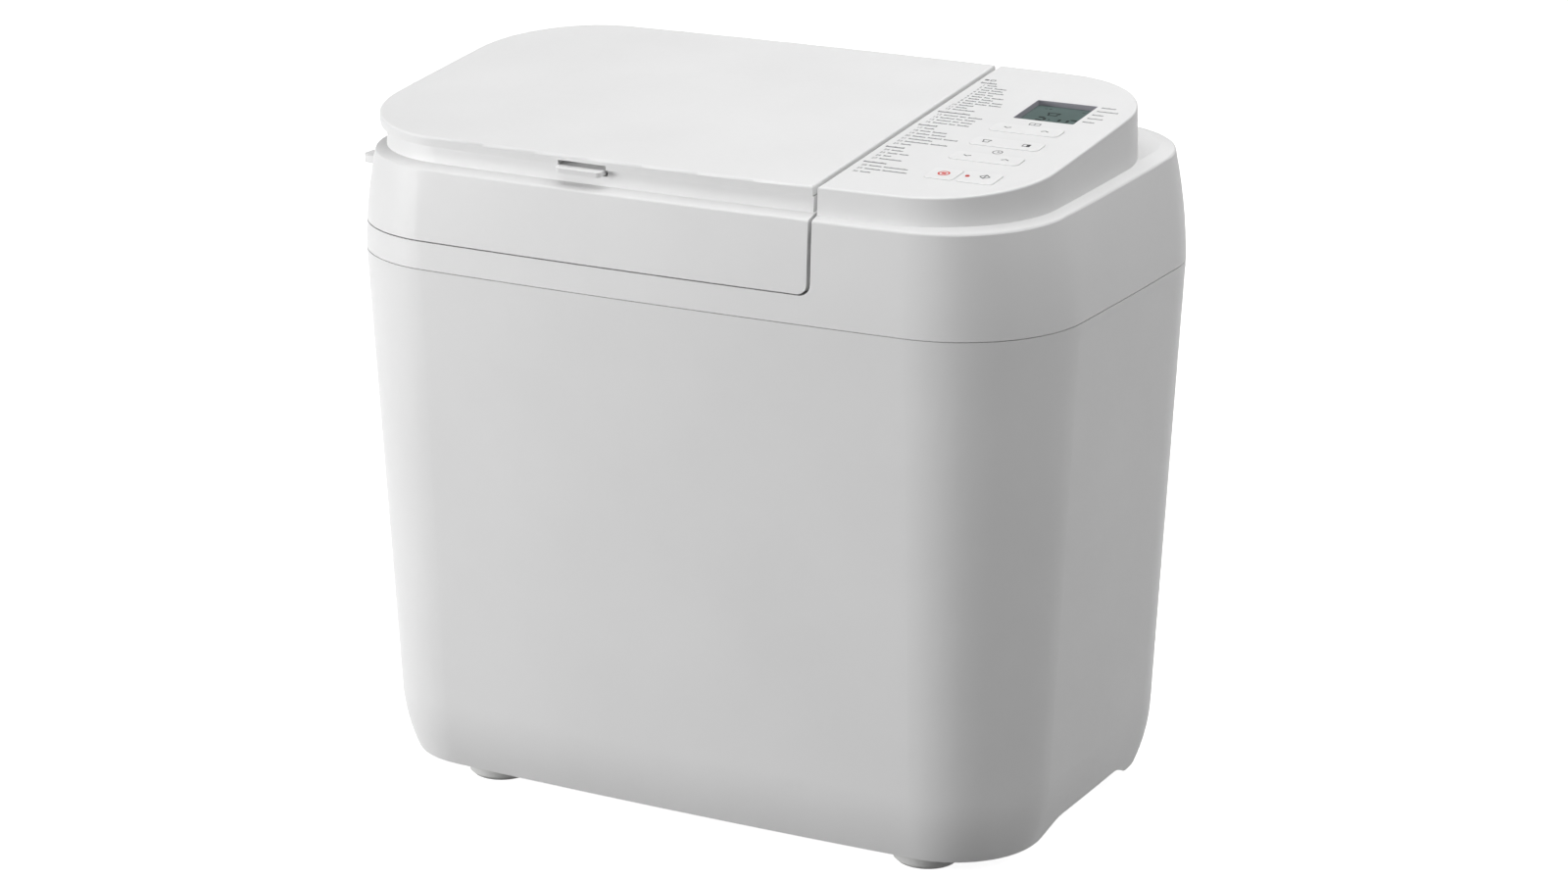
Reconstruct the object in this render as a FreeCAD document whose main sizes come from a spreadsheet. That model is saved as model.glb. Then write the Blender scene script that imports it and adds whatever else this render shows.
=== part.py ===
import FreeCAD, Part
import math
import os
import Sketcher

doc = FreeCAD.newDocument("BreadMachine")
sheet = doc.addObject("Spreadsheet::Sheet", "Sizes")
rows = []
nodes = {}


class Dim:
    """A size that carries its number and the sheet expression behind it."""

    def __init__(self, value, text):
        self.value = float(value)
        self.text = text

    def __add__(self, other):
        other = dim(other)
        return Dim(self.value + other.value, f"({self.text} + {other.text})")

    def __sub__(self, other):
        other = dim(other)
        return Dim(self.value - other.value, f"({self.text} - {other.text})")

    def __mul__(self, other):
        other = dim(other)
        return Dim(self.value * other.value, f"({self.text} * {other.text})")

    def __truediv__(self, other):
        other = dim(other)
        return Dim(self.value / other.value, f"({self.text} / {other.text})")

    def __radd__(self, other):
        return dim(other) + self

    def __rsub__(self, other):
        return dim(other) - self

    def __rmul__(self, other):
        return dim(other) * self

    def __neg__(self):
        return dim(0) - self


def dim(value):
    return value if isinstance(value, Dim) else Dim(value, f"({value:.6f})")


def root(value):
    return Dim(math.sqrt(value.value), f"sqrt({value.text})")


def tangent(angle):
    return Dim(math.tan(math.radians(angle.value)), f"tan({angle.text} * 1deg)")


def size(alias, value):
    """Write a driving size into the sheet."""
    rows.append(alias)
    row = len(rows)
    sheet.set(f"A{row}", alias)
    sheet.set(f"B{row}", f"{value}")
    sheet.setAlias(f"B{row}", alias)
    return Dim(value, f"Sizes.{alias}")


def keep(alias, value):
    """Write a size worked out from others into the sheet."""
    rows.append(alias)
    row = len(rows)
    sheet.set(f"A{row}", alias)
    sheet.set(f"B{row}", "=" + value.text.replace("Sizes.", ""))
    sheet.setAlias(f"B{row}", alias)
    return Dim(value.value, f"Sizes.{alias}")


def bind(obj, prop, value):
    obj.setExpression(prop, dim(value).text)


def place(obj, x=0, y=0, z=0, tilt=None, axis=(1, 0, 0)):
    """Set and bind where an object stands."""
    x, y, z = dim(x), dim(y), dim(z)
    angle = dim(tilt or 0)
    turn = FreeCAD.Rotation(FreeCAD.Vector(*axis), angle.value)
    obj.Placement = FreeCAD.Placement(FreeCAD.Vector(x.value, y.value, z.value), turn)
    bind(obj, "Placement.Base.x", x)
    bind(obj, "Placement.Base.y", y)
    bind(obj, "Placement.Base.z", z)
    if tilt is not None:
        bind(obj, "Placement.Rotation.Angle", angle)
    return obj


def fix_point(sketch, index, which, point):
    for kind, value in (("DistanceX", point[0]), ("DistanceY", point[1])):
        number = sketch.addConstraint(Sketcher.Constraint(kind, -1, 1, index, which, dim(value).value))
        bind(sketch, f"Constraints[{number}]", value)


def outline(sketch, points, closed=True):
    """Draw a loop; a point is (x, y), or (x, y, cx, cy) when an arc about c leads to the next one."""
    count = len(points)
    last = count if closed else count - 1
    made = []
    for i in range(last):
        a = points[i]
        b = points[(i + 1) % count]
        pa = FreeCAD.Vector(dim(a[0]).value, dim(a[1]).value, 0)
        pb = FreeCAD.Vector(dim(b[0]).value, dim(b[1]).value, 0)
        if len(a) == 2:
            index = sketch.addGeometry(Part.LineSegment(pa, pb), False)
            made.append((index, 1, 2))
            continue
        centre = FreeCAD.Vector(dim(a[2]).value, dim(a[3]).value, 0)
        left = (pa - centre).cross(pb - centre).z >= 0
        first, second = (pa, pb) if left else (pb, pa)
        start = math.atan2(first.y - centre.y, first.x - centre.x)
        stop = math.atan2(second.y - centre.y, second.x - centre.x)
        if stop <= start:
            stop += 2 * math.pi
        circle = Part.Circle(centre, FreeCAD.Vector(0, 0, 1), (pa - centre).Length)
        index = sketch.addGeometry(Part.ArcOfCircle(circle, start, stop), False)
        made.append((index, 1, 2) if left else (index, 2, 1))
    for i in range(last):
        fix_point(sketch, made[i][0], made[i][1], points[i])
        if closed or i + 1 < last:
            after = made[(i + 1) % last]
            sketch.addConstraint(Sketcher.Constraint("Coincident", made[i][0], made[i][2], after[0], after[1]))
        else:
            fix_point(sketch, made[i][0], made[i][2], points[i + 1])
        if len(points[i]) == 4:
            a = points[i]
            b = points[(i + 1) % count]
            wide = abs(dim(b[0]).value - dim(a[0]).value) > abs(dim(b[1]).value - dim(a[1]).value)
            kind, value = ("DistanceY", a[3]) if wide else ("DistanceX", a[2])
            number = sketch.addConstraint(Sketcher.Constraint(kind, -1, 1, made[i][0], 3, dim(value).value))
            bind(sketch, f"Constraints[{number}]", value)


def ring(sketch, x, y, radius):
    x, y, radius = dim(x), dim(y), dim(radius)
    centre = FreeCAD.Vector(x.value, y.value, 0)
    index = sketch.addGeometry(Part.Circle(centre, FreeCAD.Vector(0, 0, 1), radius.value), False)
    fix_point(sketch, index, 3, (x, y))
    number = sketch.addConstraint(Sketcher.Constraint("Radius", index, radius.value))
    bind(sketch, f"Constraints[{number}]", radius)


def box_points(x0, x1, y0, y1):
    return [(x0, y0), (x1, y0), (x1, y1), (x0, y1)]


def soft_points(x0, x1, y0, y1, r):
    x0, x1, y0, y1, r = dim(x0), dim(x1), dim(y0), dim(y1), dim(r)
    return [
        (x0 + r, y0), (x1 - r, y0, x1 - r, y0 + r),
        (x1, y0 + r), (x1, y1 - r, x1 - r, y1 - r),
        (x1 - r, y1), (x0 + r, y1, x0 + r, y1 - r),
        (x0, y1 - r), (x0, y0 + r, x0 + r, y0 + r),
    ]


def crowned_points(tag, a, b, r, x0=0, y0=0):
    """Rounded rectangle whose four sides bulge on one large radius."""
    long = crown
    rho = long - r
    dx = long - a
    dy = long - b
    span = keep(tag + "_span", root(dx * dx + dy * dy))
    rise = keep(tag + "_rise", root(rho * rho - span * span / 4))
    px = keep(tag + "_px", dy * rise / span - dx / 2)
    py = keep(tag + "_py", dx * rise / span - dy / 2)
    fx = keep(tag + "_fx", px * long / rho)
    fy = keep(tag + "_fy", (py + dy) * long / rho - dy)
    sx = keep(tag + "_sx", (px + dx) * long / rho - dx)
    sy = keep(tag + "_sy", py * long / rho)
    x0, y0 = dim(x0), dim(y0)
    return [
        (x0 - fx, y0 - fy, x0, y0 + dy), (x0 + fx, y0 - fy, x0 + px, y0 - py),
        (x0 + sx, y0 - sy, x0 - dx, y0), (x0 + sx, y0 + sy, x0 + px, y0 + py),
        (x0 + fx, y0 + fy, x0, y0 - dy), (x0 - fx, y0 + fy, x0 - px, y0 + py),
        (x0 - sx, y0 + sy, x0 + dx, y0), (x0 - sx, y0 - sy, x0 - px, y0 - py),
    ]


def sketch_at(name, points, z=0, tilt=None, y=0):
    sketch = doc.addObject("Sketcher::SketchObject", name)
    outline(sketch, points)
    return place(sketch, 0, y, z, tilt)


def body_sketch(body, plane, offset, loops, circles=(), closed=True):
    sketch = body.newObject("Sketcher::SketchObject", body.Name + "_sketch")
    origin = [f for f in body.Origin.OriginFeatures if f.Role == plane + "_Plane"][0]
    sketch.AttachmentSupport = [(origin, "")]
    sketch.MapMode = "FlatFace"
    sketch.AttachmentOffset = FreeCAD.Placement(FreeCAD.Vector(0, 0, dim(offset).value), FreeCAD.Rotation())
    bind(sketch, "AttachmentOffset.Base.z", offset)
    for points in loops:
        outline(sketch, points, closed)
    for x, y, radius in circles:
        ring(sketch, x, y, radius)
    return sketch


def new_body(name):
    body = doc.addObject("PartDesign::Body", name)
    return body


def pad(body, sketch, length):
    feature = body.newObject("PartDesign::Pad", body.Name + "_pad")
    feature.Profile = sketch
    feature.Length = dim(length).value
    bind(feature, "Length", length)
    sketch.Visibility = False
    return feature


def pocket(body, sketch, length):
    """Cut towards the sketch's positive side."""
    feature = body.newObject("PartDesign::Pocket", body.Name + "_pocket")
    feature.Profile = sketch
    feature.Length = dim(length).value
    feature.Reversed = True
    bind(feature, "Length", length)
    return feature


def prism(name, low, high, loops=(), circles=(), plane="XY"):
    """A pad between two levels along the plane's own normal."""
    body = new_body(name)
    low, high = dim(low), dim(high)
    pad(body, body_sketch(body, plane, low, loops, circles), high - low)
    return body


def turned(name, profile):
    """A solid of revolution about the body's own Z axis; the profile is (radius, height)."""
    body = new_body(name)
    sketch = body_sketch(body, "XZ", 0, [profile])
    feature = body.newObject("PartDesign::Revolution", name + "_turn")
    feature.Profile = sketch
    feature.ReferenceAxis = (sketch, ["V_Axis"])
    feature.Angle = 360
    return body


def round_edges(body, radius, choose):
    """Fillet the edges of a body that the test picks."""
    body.recompute(True)
    tip = body.Tip
    picked = [f"Edge{i + 1}" for i, e in enumerate(tip.Shape.Edges) if choose(e)]
    feature = body.newObject("PartDesign::Fillet", body.Name + "_fillet")
    feature.Base = (tip, picked)
    feature.Radius = dim(radius).value
    bind(feature, "Radius", radius)
    return body


def block(name, x0, x1, y0, y1, z0, z1):
    box = doc.addObject("Part::Box", name)
    x0, x1, y0, y1, z0, z1 = (dim(v) for v in (x0, x1, y0, y1, z0, z1))
    bind(box, "Length", x1 - x0)
    bind(box, "Width", y1 - y0)
    bind(box, "Height", z1 - z0)
    return place(box, x0, y0, z0)


def rod(name, radius, length, x, y, z, along="Z"):
    cylinder = doc.addObject("Part::Cylinder", name)
    bind(cylinder, "Radius", radius)
    bind(cylinder, "Height", length)
    place(cylinder, x, y, z)
    turns = {"X": FreeCAD.Rotation(FreeCAD.Vector(0, 1, 0), 90), "Y": FreeCAD.Rotation(FreeCAD.Vector(1, 0, 0), -90)}
    if along in turns:
        cylinder.Placement.Rotation = turns[along]
    return cylinder


def cut(name, base, *tools):
    result = doc.addObject("Part::Cut", name)
    result.Base = base
    result.Tool = tools[0] if len(tools) == 1 else fuse(name + "_tools", *tools)
    return result


def fuse(name, *shapes):
    result = doc.addObject("Part::MultiFuse", name)
    result.Shapes = list(shapes)
    result.Refine = True
    return result


def common(name, *shapes):
    result = doc.addObject("Part::MultiCommon", name)
    result.Shapes = list(shapes)
    return result


def group(name, *shapes):
    result = doc.addObject("Part::Compound", name)
    result.Links = list(shapes)
    return result


def loft(name, sections, ruled):
    result = doc.addObject("Part::Loft", name)
    result.Sections = sections
    result.Solid = True
    result.Ruled = ruled
    return result


def fillet(name, base, radius, choose):
    base.recompute(True)
    result = doc.addObject("Part::Fillet", name)
    result.Base = base
    value = dim(radius).value
    result.Edges = [(i + 1, value, value) for i, e in enumerate(base.Shape.Edges) if choose(e)]
    return result


def node(label, obj, x=0, y=0, z=0, tilt=None, axis=(1, 0, 0)):
    """Name a finished piece and stand it in the shared frame."""
    obj.Label = label
    nodes[label] = obj
    place(obj, dim(x) + shift_x, dim(y) + shift_y, z, tilt, axis)
    return obj


# Casing sizes
casing_width = size("casing_width", 391.4)
casing_depth = size("casing_depth", 245.7)
crown = size("crown_radius", 3900.0)
corner = size("casing_corner", 64.0)
wall = size("wall", 2.6)
foot_height = size("foot_height", 12.5)
foot_radius = size("foot_radius", 17.0)
taper = size("side_taper", 0.049)
curl_top = size("curl_top", 45.0)
curl_radius = size("curl_radius", 93.0)
top_z = size("top_height", 358.6)
top_tilt = size("top_tilt", 6.0)
rim_z = top_z - size("rim_drop", 24.6)
rim_tilt = size("rim_tilt", 1.15)
rim_side = size("rim_side_inset", 8.0)
rim_end = size("rim_end_inset", 2.2)
ledge_width = size("ledge_width", 8.0)
ledge_rise = size("ledge_rise", 2.0)
rim_round = size("rim_round", 1.5)
deck_z = rim_z - size("deck_drop", 38.8)
seam_z = deck_z - size("seam_drop", 14.35)
seam_gap = size("seam_gap", 0.5)
lid_gap = size("lid_gap", 0.6)
top_width = casing_width - 2 * size("top_side_inset", 11.0)
top_depth = casing_depth - 2 * size("top_end_inset", 22.2)
top_back = size("top_setback", 14.8)
top_left = size("top_left_shift", 4.0)
panel_corner = size("panel_corner", 57.0)
panel_round = size("panel_round", 1.2)
cover_corner = size("cover_corner", 60.0)
cover_round = size("cover_round", 1.2)
split_gap = size("split_gap", 2.0)
lip_reach = size("lip_reach", 13.0)
hinge_reach = size("hinge_reach", 7.0)
hinge_radius = size("hinge_radius", 6.0)
arch_height = size("arch_height", 19.7)
arch_half = size("arch_half", 33.0)
plate_z = size("base_plate_height", 21.0)
plate_thick = size("base_plate_thick", 3.0)

half_w = casing_width / 2
half_d = casing_depth / 2
split_x = half_w - size("panel_width", 111.95)
foot_x = half_w - size("foot_side_inset", 71.7)
foot_y = half_d - size("foot_end_inset", 52.35)
shift_x = keep("shift_x", lip_reach / 2)
shift_y = keep("shift_y", -(hinge_reach + hinge_radius) / 2)
FAR = 400


def low_inset(z):
    """How far the casing stands in from the seam outline at a height."""
    drop = curl_top - z
    straight = (seam_z - z) * taper
    if drop.value <= 0:
        return straight
    return straight + curl_radius - root(curl_radius * curl_radius - drop * drop)


def low_sections(tag, extra, heights):
    made = []
    for i, z in enumerate(heights):
        inset = low_inset(z) + extra
        points = crowned_points(f"{tag}{i}a", half_w - inset, half_d - inset, corner - inset)
        made.append(sketch_at(f"{tag}{i}", points, z))
    return made


def low_form(tag, extra, start, end):
    steps = [0.0, 0.16, 0.36, 0.64, 1.0]
    heights = [start + (curl_top - start) * k for k in steps]
    lower = low_sections(tag + "c", extra, heights)
    upper = low_sections(tag + "s", extra, [end])
    curl = loft(tag + "curl", lower, False)
    side = loft(tag + "side", [lower[-1], upper[0]], True)
    return fuse(tag + "form", curl, side)


def tall_sections(tag, extra, low, drop):
    inset = (0, 0.3, 1)
    shares = (0, 0.5, 1)
    made = []
    for i in range(3):
        side = rim_side * inset[i] + extra
        end = rim_end * inset[i] + extra
        points = crowned_points(f"{tag}{i}a", half_w - side, half_d - end, corner - (side + end) / 2)
        height = low + (rim_z - drop - low) * shares[i]
        made.append(sketch_at(f"{tag}{i}", points, height, rim_tilt * shares[i]))
    return made


def on_top(y):
    return top_z + dim(y) * tangent(top_tilt)


def on_rim(y):
    return rim_z + dim(y) * tangent(rim_tilt)


def above_rim(edge):
    middle = edge.valueAt((edge.FirstParameter + edge.LastParameter) / 2)
    level = rim_z.value + middle.y * math.tan(math.radians(rim_tilt.value))
    return abs(middle.z - level) < 0.05


def above_top(edge):
    middle = edge.valueAt((edge.FirstParameter + edge.LastParameter) / 2)
    level = top_z.value + middle.y * math.tan(math.radians(top_tilt.value))
    return abs(middle.z - level) < 0.05


def top_form(tag, side, end, radius, drop, base_z, flare):
    """A block inside the tilted top outline, sunk to a level and flared a little at its foot."""
    made = []
    for part, grow, z, tilt in (("l", flare, base_z, None), ("u", 0, top_z - drop, top_tilt)):
        a = top_width / 2 - side + grow
        b = top_depth / 2 - end + grow
        points = crowned_points(tag + part + "a", a, b, radius - (side + end) / 2 + grow, -top_left, -top_back)
        made.append(sketch_at(tag + part, points, z, tilt))
    return loft(tag + "loft", made, True)


def side_region(name, x, z, radius):
    """Everything left of the split and above the deck, with one rounded corner, run front to back."""
    x, z = dim(x), dim(z)
    points = [
        (-FAR, z), (x - radius, z, x - radius, z + radius), (x, z + radius), (x, FAR * 1.5), (-FAR, FAR * 1.5),
    ]
    return prism(name, -FAR, FAR, [points], plane="XZ")


# Lower casing with finger arches, screw blocks, vents and the cord hole
screw_x = size("screw_x", 95.0)
screw_y = size("screw_y", 87.0)
screw_hole = size("screw_hole", 1.6)
gland_x = half_w - size("gland_inset", 69.7)
gland_z = size("gland_z", 52.0)
gland_radius = size("gland_radius", 8.0)
low_outer = low_form("lo", dim(0), foot_height, seam_z)
low_inner = low_form("li", wall, foot_height - 1, seam_z + 1)
arch_run = size("arch_run", 20.0)
arch_rise = arch_height - foot_height
arch_curve = [(1.0, 0.0), (0.85, 0.13), (0.3, 0.8), (0.12, 0.95), (-0.1, 1.0)]
arch_back = [(arch_half + arch_run * k, foot_height + arch_rise * r) for k, r in arch_curve]
arch_front = [(-arch_half - arch_run * k, foot_height + arch_rise * r) for k, r in reversed(arch_curve)]
arch_points = [(-arch_half - arch_run, -5), (arch_half + arch_run, -5)] + arch_back + arch_front
arch_right = prism("arch_right", half_w * 0.62, FAR, [arch_points], plane="YZ")
arch_left = prism("arch_left", -FAR, -half_w * 0.62, [arch_points], plane="YZ")
plate_top = plate_z + plate_thick
blocks = []
block_holes = []
for i, (sx, sy) in enumerate([(-1, -1), (1, -1), (1, 1), (-1, 1)]):
    near = screw_y - 5
    y0, y1 = (near, dim(FAR)) if sy > 0 else (dim(-FAR), -near)
    blocks.append(block(f"block{i}", sx * screw_x - 6, sx * screw_x + 6, y0, y1, plate_top, plate_top + 26))
    block_holes.append(rod(f"block_hole{i}", screw_hole, 14, sx * screw_x, sy * screw_y, plate_top - 1))
screw_blocks = common("screw_blocks", fuse("block_set", *blocks), low_outer)
vent_x = half_w - size("vent_inset", 135.7)
vents = [block(f"vent{i}", vent_x + i * 12, vent_x + i * 12 + 5, 60, FAR, 110, 150) for i in range(6)]
gland_hole = rod("gland_hole", gland_radius, FAR, gland_x, 60, gland_z, "Y")
shell = cut("low_shell", low_outer, low_inner)
low_cuts = [arch_right, arch_left, gland_hole] + vents
trimmed = cut("low_trimmed", shell, *low_cuts)
node("lower_casing", cut("lower_casing", fuse("low_joined", trimmed, screw_blocks), *block_holes))

# Base plate with wells for the feet, and the feet and screws
bench_inset = low_inset(plate_z) + wall + 1.0
bench = crowned_points("bench", half_w - bench_inset, half_d - bench_inset, corner - bench_inset)
bench_holes = [(sx * screw_x, sy * screw_y, screw_hole + 0.2) for sx in (-1, 1) for sy in (-1, 1)]
bench_plate = prism("bench_plate", plate_z, plate_top, [bench], bench_holes)
wells = [
    rod(f"well{i}", foot_radius - 1, plate_z + 1 - foot_height, sx * foot_x, sy * foot_y, foot_height)
    for i, (sx, sy) in enumerate([(-1, -1), (1, -1), (1, 1), (-1, 1)])
]
board_x0 = half_w - size("power_board_inset", 113.7)
board_w = size("power_board_width", 80.0)
board_y0 = size("power_board_ease", 41.9) - half_d
board_d = size("power_board_depth", 36.0)
stand_h = size("stand_height", 8.0)
stands = []
for i, (kx, ky) in enumerate([(0, 0), (1, 0), (1, 1), (0, 1)]):
    x = board_x0 + 5 + (board_w - 10) * kx
    y = board_y0 + 5 + (board_d - 10) * ky
    stands.append(rod(f"stand{i}", 3, stand_h + 1, x, y, plate_top - 1))
node("base_plate", fuse("base_plate", bench_plate, *wells, *stands))
foot_profile = [
    (0, 0), (foot_radius - 2, 0), (foot_radius, 2), (foot_radius, foot_height), (0, foot_height),
]
feet = []
screws = []
for i, (sx, sy) in enumerate([(-1, -1), (1, -1), (1, 1), (-1, 1)]):
    feet.append(place(turned(f"foot{i}", foot_profile), sx * foot_x, sy * foot_y, 0))
    head = [
        (0, plate_z - 2.4), (3.4, plate_z - 2.4), (3.4, plate_z), (screw_hole, plate_z),
        (screw_hole, plate_top + 11), (0, plate_top + 11),
    ]
    screws.append(place(turned(f"screw{i}", head), sx * screw_x, sy * screw_y, 0))
node("feet", group("feet", *feet))
node("base_screws", group("base_screws", *screws))

# Upper casing: collar, deck, panel block, hinge ears and key bearings
tall_rings = tall_sections("uo", dim(0), seam_z + seam_gap, dim(0))
tall = loft("tall_loft", tall_rings, False)
ledge_side = rim_side + ledge_width
ledge_end = rim_end + ledge_width
ledge_points = crowned_points("le", half_w - ledge_side, half_d - ledge_end, corner - (ledge_side + ledge_end) / 2)
ledge_ring = sketch_at("ledge_ring", ledge_points, rim_z + ledge_rise, rim_tilt)
ledge = loft("ledge", [tall_rings[-1], ledge_ring], True)
tall_form = fillet("tall_form", fuse("tall_full", tall, ledge), rim_round, above_rim)
tall_inner = loft("tall_inner", tall_sections("ui", wall, seam_z - 4, dim(3)), False)
base_z = rim_z - 14
panel_left = split_x + split_gap / 2
lid_right = split_x - split_gap / 2
panel_side = block("panel_side", panel_left, FAR, -FAR, FAR, 0, 2 * FAR)
panel_raw = common("panel_raw", top_form("pf", dim(0), dim(0), panel_corner, dim(0), base_z, 1.0), panel_side)
panel_form = fillet("panel_form", panel_raw, panel_round, above_top)
panel_hollow = top_form("ph", wall, wall, panel_corner, wall, base_z - 30, 1.0)
foot_ring = crowned_points("fr", half_w - 1.2, half_d - 1.2, corner - 1.2)
collar_foot = prism("collar_foot", seam_z, seam_z + seam_gap + 1, [foot_ring])
solid = fuse("collar_solid", tall_form, panel_form, collar_foot)
lid_space = side_region("lid_space", panel_left, deck_z, 6)
under_deck = common("under_deck", tall_inner, block("under_box", -FAR, FAR, -FAR, FAR, 0, deck_z - wall))
right_box = block("right_box", panel_left + wall, FAR, -FAR, FAR, 0, 2 * FAR)
right_space = common("right_space", fuse("right_form", tall_inner, panel_hollow), right_box)
chamber_x = (split_x - half_w) / 2 - size("chamber_offset", 0.4)
chamber_w = size("chamber_width", 206.0)
chamber_d = size("chamber_depth", 172.0)
chamber_r = size("chamber_corner", 45.0)
chamber_z = size("chamber_floor", 60.0)
sheet_t = size("sheet_thickness", 1.0)
fit = size("loose_fit", 0.3)
c_x0 = chamber_x - chamber_w / 2
c_x1 = chamber_x + chamber_w / 2
c_y1 = chamber_d / 2
deck_hole = prism(
    "deck_hole", deck_z - 20, deck_z + 5, [soft_points(c_x0 - fit, c_x1 + fit, -c_y1 - fit, c_y1 + fit, chamber_r)]
)
collar = cut("collar", solid, lid_space, under_deck, right_space, deck_hole)

# Lid hinge: two ears to a knuckle
hinge_y = half_d + hinge_reach
hinge_z = deck_z + 4.8
pin_radius = size("hinge_pin_radius", 2.0)
run_fit = size("running_fit", 0.05)
knuckle = size("knuckle_width", 18.0)
ear = size("ear_width", 12.0)
hinge_xs = (size("hinge_left_inset", 55.7) - half_w, split_x - size("hinge_right_inset", 48.5))
side_gap = size("knuckle_gap", 0.4)
ears = []
ear_holes = []
lid_knuckles = []
lid_holes = []
pins = []
for i, hx in enumerate(hinge_xs):
    for j, side in enumerate((-1, 1)):
        x0 = hx + side * (knuckle / 2 + side_gap) + (0 if side > 0 else -ear)
        low = block(f"ear_low{i}{j}", x0, x0 + ear, half_d - 6, hinge_y + hinge_radius, seam_z + 2, deck_z - 0.6)
        post = block(
            f"ear_post{i}{j}", x0, x0 + ear, hinge_y - hinge_radius + 0.5, hinge_y + hinge_radius, seam_z + 2, hinge_z
        )
        barrel = rod(f"ear_barrel{i}{j}", hinge_radius, ear, x0, hinge_y, hinge_z, "X")
        ears += [low, post, barrel]
    span = knuckle + 2 * (ear + side_gap)
    x0 = hx - span / 2
    ear_holes.append(rod(f"ear_hole{i}", pin_radius, span, x0, hinge_y, hinge_z, "X"))
    pins.append(rod(f"lid_pin{i}", pin_radius, span, x0, hinge_y, hinge_z, "X"))
    k0 = hx - knuckle / 2
    web = block(f"lid_web{i}", k0, k0 + knuckle, half_d - 5.5, hinge_y, hinge_z, hinge_z + hinge_radius + 4)
    lid_knuckles += [web, rod(f"lid_barrel{i}", hinge_radius, knuckle, k0, hinge_y, hinge_z, "X")]
    lid_holes.append(rod(f"lid_hole{i}", pin_radius + run_fit, knuckle, k0, hinge_y, hinge_z, "X"))
node("lid_hinge_pins", group("lid_hinge_pins", *pins))

# Panel openings: display, three rockers on axles, two push keys, indicator
key_x = half_w - size("rocker_inset", 54.0)
key_w = size("rocker_width", 36.4)
key_d = size("rocker_depth", 11.2)
key_gap = size("key_gap", 0.3)
rocker_names = ("menu_rocker", "crust_rocker", "timer_rocker")
rocker_ys = (size("menu_y", -6.0), size("crust_y", -28.0), size("timer_y", -50.5))
axle_radius = size("axle_radius", 1.2)
axle_drop = size("axle_drop", 5.2)
push_names = ("stop_key", "start_key")
push_xs = (half_w - size("stop_inset", 63.2), half_w - size("start_inset", 44.7))
push_ws = (size("stop_width", 14.8), size("start_width", 18.9))
push_y = size("push_y", -77.5)
push_d = size("push_depth", 14.6)
push_travel = size("push_travel", 0.7)
board_drop = size("board_drop", 15.0)
board_thick = size("board_thick", 1.6)
switch_h = size("switch_height", 5.0)
glass_x = half_w - size("display_inset", 52.7)
glass_y = size("display_y", 24.4)
glass_w = size("display_width", 32.4)
glass_d = size("display_depth", 29.8)
glass_lap = size("display_lap", 1.5)
glass_t = size("display_thick", 0.9)
lamp_radius = size("lamp_radius", 1.1)
lamp_in = size("lamp_inset", 3.2)
brackets = []
panel_cuts = []
for name, y in zip(rocker_names, rocker_ys):
    w = key_w / 2 + key_gap
    d = key_d / 2 + key_gap
    hole = prism(name + "_hole", -9, 5, [soft_points(-w, w, -d, d, 3.2)])
    panel_cuts.append(place(hole, key_x, y, on_top(y), top_tilt))
    for j, side in enumerate((-1, 1)):
        v0 = d + 0.2 if side > 0 else -d - 2.6
        arm = prism(f"{name}_arm{j}", -axle_drop - 2.4, -wall + 0.6, [box_points(-2.6, 2.6, v0, v0 + 2.4)])
        brackets.append(place(arm, key_x, y, on_top(y), top_tilt))
    bore = prism(name + "_bore", -d - 4, d + 4, (), [(0, -axle_drop, axle_radius + run_fit)], "XZ")
    panel_cuts.append(place(bore, key_x, y, on_top(y), top_tilt))
for name, x, width in zip(push_names, push_xs, push_ws):
    w = width / 2 + key_gap
    d = push_d / 2 + key_gap
    hole = prism(name + "_hole", -wall - 1, 5, [soft_points(-w, w, -d, d, 2.4)])
    panel_cuts.append(place(hole, x, push_y, on_top(push_y), top_tilt))
sight_hole = prism("sight_hole", -8, 5, [soft_points(
    -glass_w / 2, glass_w / 2, -glass_d / 2, glass_d / 2, 0.8)])
panel_cuts.append(place(sight_hole, glass_x, glass_y, on_top(glass_y), top_tilt))
post_us = (-28, 18)
post_vs = (-90, 46)
board_posts = []
for i, u in enumerate(post_us):
    for j, v in enumerate(post_vs):
        post = prism(f"board_post{i}{j}", -board_drop, -wall + 0.6, (), [(0, 0, 3)])
        board_posts.append(place(post, key_x + u, v, on_top(v), top_tilt))
upper = fuse("upper_joined", collar, *ears, *brackets, *board_posts)
node("upper_casing", cut("upper_casing", upper, *ear_holes, *panel_cuts))

key_proud = size("key_proud", 0.5)
key_round = size("key_round", 0.4)


def on_key_top(edge):
    return abs(edge.CenterOfMass.z - key_proud.value) < 0.01


for name, y in zip(rocker_names, rocker_ys):
    cap = new_body(name + "_cap")
    w = key_w / 2
    d = key_d / 2
    pad(cap, body_sketch(cap, "XY", -axle_drop - 1.6, [soft_points(-w, w, -d, d, 2.8)]), axle_drop + 1.6 + key_proud)
    under = [soft_points(1.6 - w, w - 1.6, 1.6 - d, d - 1.6, 1.2)]
    pocket(cap, body_sketch(cap, "XY", -axle_drop - 2, under), axle_drop + 0.6)
    round_edges(cap, key_round, on_key_top)
    rib = prism(name + "_rib", -axle_drop - 1.6, 0, [box_points(-2.4, 2.4, -d, d)])
    axle = prism(name + "_axle", -d - key_gap - 2, d + key_gap + 2, (), [(0, -axle_drop, axle_radius)], "XZ")
    foot = -board_drop + switch_h + 1
    stems = prism(name + "_stems", foot, -1, (), [(side * (w - 6), 0, 1.5) for side in (-1, 1)])
    rocker = fuse(name, cap, rib, axle, stems)
    node(name, rocker, key_x, y, on_top(y), top_tilt)
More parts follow.
